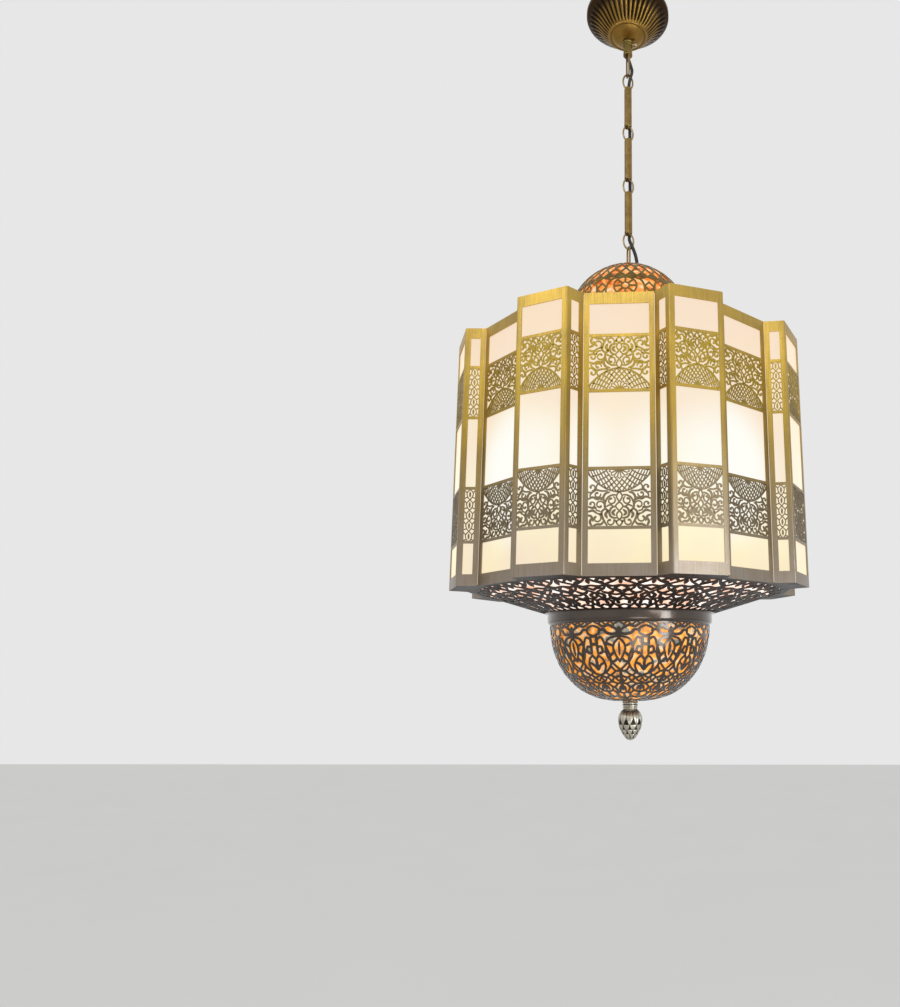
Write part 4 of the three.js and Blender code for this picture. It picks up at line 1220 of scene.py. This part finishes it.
def lining(name, line, back, finish, nodes=(), steps=96):
    """A thin lining at a distance behind a shell."""
    outer = []
    for i, (r, z) in enumerate(line):
        a = line[max(i - 1, 0)]
        b = line[min(i + 1, len(line) - 1)]
        way = Vector((b[0] - a[0], b[1] - a[1])).normalized()
        outer.append((r, z, Vector((-way.y, way.x))))
    near, far = [], []
    for r, z, side in outer:
        inward = side if (Vector((r, z)) + side).x < r else -side
        near.append((max(r + inward.x * back, 0.5), z + inward.y * back))
        far.append((max(r + inward.x * (back + 1), 0.5), z + inward.y * (back + 1)))
    piece = turned(near + far[::-1], steps)
    smooth(piece, 50)
    return hang(piece, name, finish, "lantern", nodes)


def body_panels():
    first = recessed_panel()
    smooth(first, 30)
    second = box_panel()
    smooth(second, 30)
    flats = [first] + [copy_of(first, "flat", face_angle(2 * i)) for i in range(1, 8)]
    boxes = [second] + [copy_of(second, "box", face_angle(2 * i)) for i in range(1, 8)]
    for i, (flat, box) in enumerate(zip(flats, boxes), 1):
        hang(flat, f"recessed_plate_{i}", None, "lantern", [f"recessed_panel_{i}"])
        hang(box, f"box_plate_{i}", None, "lantern", [f"box_panel_{i}"])


def finial():
    """A pinecone: tall petals round its upper half, rows of round scales under them."""
    foot = BODY_FOOT
    outline = [(8.6, foot - 144.4), (12.0, foot - 147.6), (14.5, foot - 152.4), (15.3, foot - 157.4),
               (14.7, foot - 162.6), (13.2, foot - 167.6), (11.0, foot - 172.4), (8.1, foot - 176.8),
               (4.8, foot - 180.4), (1.6, foot - 181.9)]
    body = through(outline, 6)
    neck = [(0, -1007.2), (9.2, -1007.2), (10.0, -1007.8), (10.0, -1009.0), (8.9, -1009.6), (8.9, -1010.4),
            (9.9, -1011.0), (9.9, -1012.2), (8.8, -1012.8), (8.8, -1013.6), (9.4, -1014.1), (9.4, -1015.1),
            (8.4, -1015.8)]
    piece = turned(neck + list(body) + [(0, foot - 182)], 180)
    # Painted shade: the gaps between petals and scales get a groove value, which the finish darkens.
    groove_shade = piece.data.attributes.new("groove_shade", "FLOAT", "POINT")
    top, shoulder, row_height = foot - 144.4, foot - 163.0, 5.6
    for i, point in enumerate(piece.data.vertices):
        r, z = math.hypot(point.co.x, point.co.y) / MM, point.co.z / MM
        if z > top or r < 1.2:
            continue
        turn = math.atan2(point.co.y, point.co.x) / (2 * math.pi)
        if z > shoulder:
            across = abs((turn * 10) % 1 - 0.5) * 2
            down = (top - z) / (top - shoulder)
            edge = across - (1 - max(0.0, down - 0.55) / 0.45 * 0.75)
            deep = 0.9 * max(0.0, min(1.0, (edge + 0.16) / 0.16))
            vein = 0.25 * max(0.0, 1 - across / 0.16)
            deep = max(deep, vein)
        else:
            row = int((shoulder - z) / row_height)
            down = (shoulder - z) / row_height - row
            across = abs((turn * 10 + 0.5 * ((row + 1) % 2)) % 1 - 0.5) * 2
            edge = across**2 + max(0.0, down - 0.15) ** 2 * 0.95
            deep = 0.85 * max(0.0, min(1.0, (edge - 0.62) / 0.2))
        deep *= min(1.0, r / 6)
        groove_shade.data[i].value = min(1.0, deep / 0.7)
        share = (r - deep) / r
        point.co.x *= share
        point.co.y *= share
    smooth(piece, 60)
    return hang(piece, "finial_bud", SHADED_CONE_BUD, "finial", ["finial"])


# Lamps and hidden parts

def give(node, finish):
    thing = bpy.data.objects[node]
    thing.data.materials.clear()
    thing.data.materials.append(finish)


def kept_parts():
    for node in ["ceiling_bracket", "spindle", "lamp_spider"]:
        give(node, ZINC)
    for node in ["roof_plate", "floor_plate"]:
        give(node, PLATE_BRONZE)
    for i in range(1, 9):
        give(f"flat_pane_{i}", GLOWING_OPAL)
        give(f"folded_pane_{i}", GLOWING_OPAL)
    for i in range(1, 4):
        give(f"bulb_{i}", LAMP)


# Camera, floor and light

def camera():
    """The photograph's view. Its focal length is known in pixels of a picture 1007 high."""
    turn, tilt, roll = math.radians(2.65), math.radians(11.68), math.radians(-0.29)
    ahead = Vector((-math.sin(turn) * math.cos(tilt), math.cos(turn) * math.cos(tilt), math.sin(tilt)))
    right = Vector((math.cos(turn), math.sin(turn), 0))
    up = right.cross(ahead)
    rolled_right = right * math.cos(roll) + up * math.sin(roll)
    rolled_up = up * math.cos(roll) - right * math.sin(roll)
    bpy.ops.object.camera_add(location=(0.0544, -1.0173, -0.96425))
    eye = bpy.context.object
    eye.rotation_euler = Matrix((rolled_right, rolled_up, -ahead)).transposed().to_euler()
    focal_pixels, picture_height, sensor = 788, 1007, 36
    eye.data.sensor_width = sensor
    eye.data.lens = focal_pixels / picture_height * sensor
    eye.data.shift_x = -0.1837
    eye.data.clip_start = 0.01
    bpy.context.scene.camera = eye


def shown_pale(tree):
    """One for rays from the camera, or from metal or glass, and nought for light."""
    path = add(tree, "ShaderNodeLightPath").outputs
    seen = path["Is Camera Ray"]
    for ray in ("Is Glossy Ray", "Is Transmission Ray"):
        seen = add(tree, "ShaderNodeMath", {0: seen, 1: path[ray]}, operation="MAXIMUM").outputs[0]
    return seen


def pale_finish(name, colour):
    """A floor that shows pale to the camera and in metal, and still takes the object's shadow."""
    finish, tree, shader = new_finish(name)
    grain = level(tree, spots(tree, 3, 2), 0, 1)
    tone = mix(tree, grain, colour, tuple(c * 0.97 for c in colour))
    tree.links.new(tone, shader.inputs["Base Color"])
    shader.inputs["Roughness"].default_value = 0.9
    share = add(tree, "ShaderNodeMath", {0: shown_pale(tree), 1: 0.6}, operation="MULTIPLY").outputs[0]
    glow = add(tree, "ShaderNodeEmission", {"Color": tone, "Strength": 1.0})
    parts = {0: share, 1: shader.outputs[0], 2: glow.outputs[0]}
    surface = add(tree, "ShaderNodeMixShader", parts).outputs[0]
    tree.links.new(surface, tree.nodes["Material Output"].inputs["Surface"])
    return finish


FLOOR_LEVEL = -1.9


def surroundings():
    bpy.ops.mesh.primitive_plane_add(size=14, location=(0, 0, 0))
    floor = bpy.context.object
    floor.name = "floor"
    floor.data.transform(Matrix.Translation((0, 0, FLOOR_LEVEL)))
    floor.data.materials.append(pale_finish("pale floor", (0.80, 0.80, 0.79)))
    world = bpy.data.worlds.new("pale room")
    bpy.context.scene.world = world
    world.use_nodes = True
    tree = world.node_tree
    tree.nodes.clear()
    plain = add(tree, "ShaderNodeBackground", {"Color": (1, 1, 1, 1), "Strength": 0.35})
    pale = add(tree, "ShaderNodeBackground", {"Color": (0.80, 0.80, 0.80, 1), "Strength": 1.0})
    parts = {0: shown_pale(tree), 1: plain.outputs[0], 2: pale.outputs[0]}
    add(tree, "ShaderNodeOutputWorld", {"Surface": add(tree, "ShaderNodeMixShader", parts).outputs[0]})


def lamp(name, place, target, size, power, colour=(1, 1, 1), height=None):
    """A soft lamp that looks at a target: round, or a rectangle if it has a height."""
    bpy.ops.object.light_add(type="AREA", location=place)
    light = bpy.context.object
    light.name = name
    light.data.shape = "RECTANGLE" if height else "DISK"
    light.data.size = size
    if height:
        light.data.size_y = height
    light.data.energy = power
    light.data.color = colour
    light.rotation_euler = (Vector(target) - Vector(place)).to_track_quat("-Z", "Y").to_euler()


bpy.context.scene.view_settings.view_transform = "Standard"
camera()
flex()
canopy()
collar()
set_screw()
hook_loop()
for link in range(1, 5):
    ring(link, HINGES[2 * link - 2])
for link in range(1, 4):
    tube_link(link, HINGES[2 * link - 1] + LINK_LIFT)
lamp_loop()
dome()
cone("roof_shell", ROOF_LINE, 1, ["roof_cone"], plain_from=104.5)
cone("funnel_shell", FUNNEL_LINE, -1, ["funnel"])
bowl()
lining("dome_lining", arc_profile(18), SHEET + 0.3, ORANGE_GLOW, ["dome_liner"])
lining("bowl_lining", belly_profile(22), SHEET + 0.3, AMBER_GLOW, ["bowl_liner"])
lining("roof_lining", [(194, ROOF_LINE[0][1] + 0.6), (88, -520.6)], SHEET + 0.3, PINK_GLOW)
lining("funnel_lining", [(194, FUNNEL_LINE[0][1] - 0.6), (107, -898.7)], SHEET + 0.3, PINK_GLOW)
body_panels()
finial()
kept_parts()
surroundings()
lamp("left softbox", (-1.6, -1.4, 0.4), (0, 0, -0.7), 1.2, 6)
lamp("front softbox", (-0.05, -1.95, 0.3), (0, 0, -0.6), 0.8, 4)
lamp("right softbox", (1.3, -1.7, -0.5), (0, 0, -0.8), 0.9, 5.2)
lamp("low softbox", (0.4, -1.4, -1.5), (0, 0, -0.9), 0.7, 4)
lamp("window light", (1.24, -1.0, -1.2), (0.04, -0.1, -0.93), 0.36, 8, (0.86, 0.94, 1.0), height=0.8)
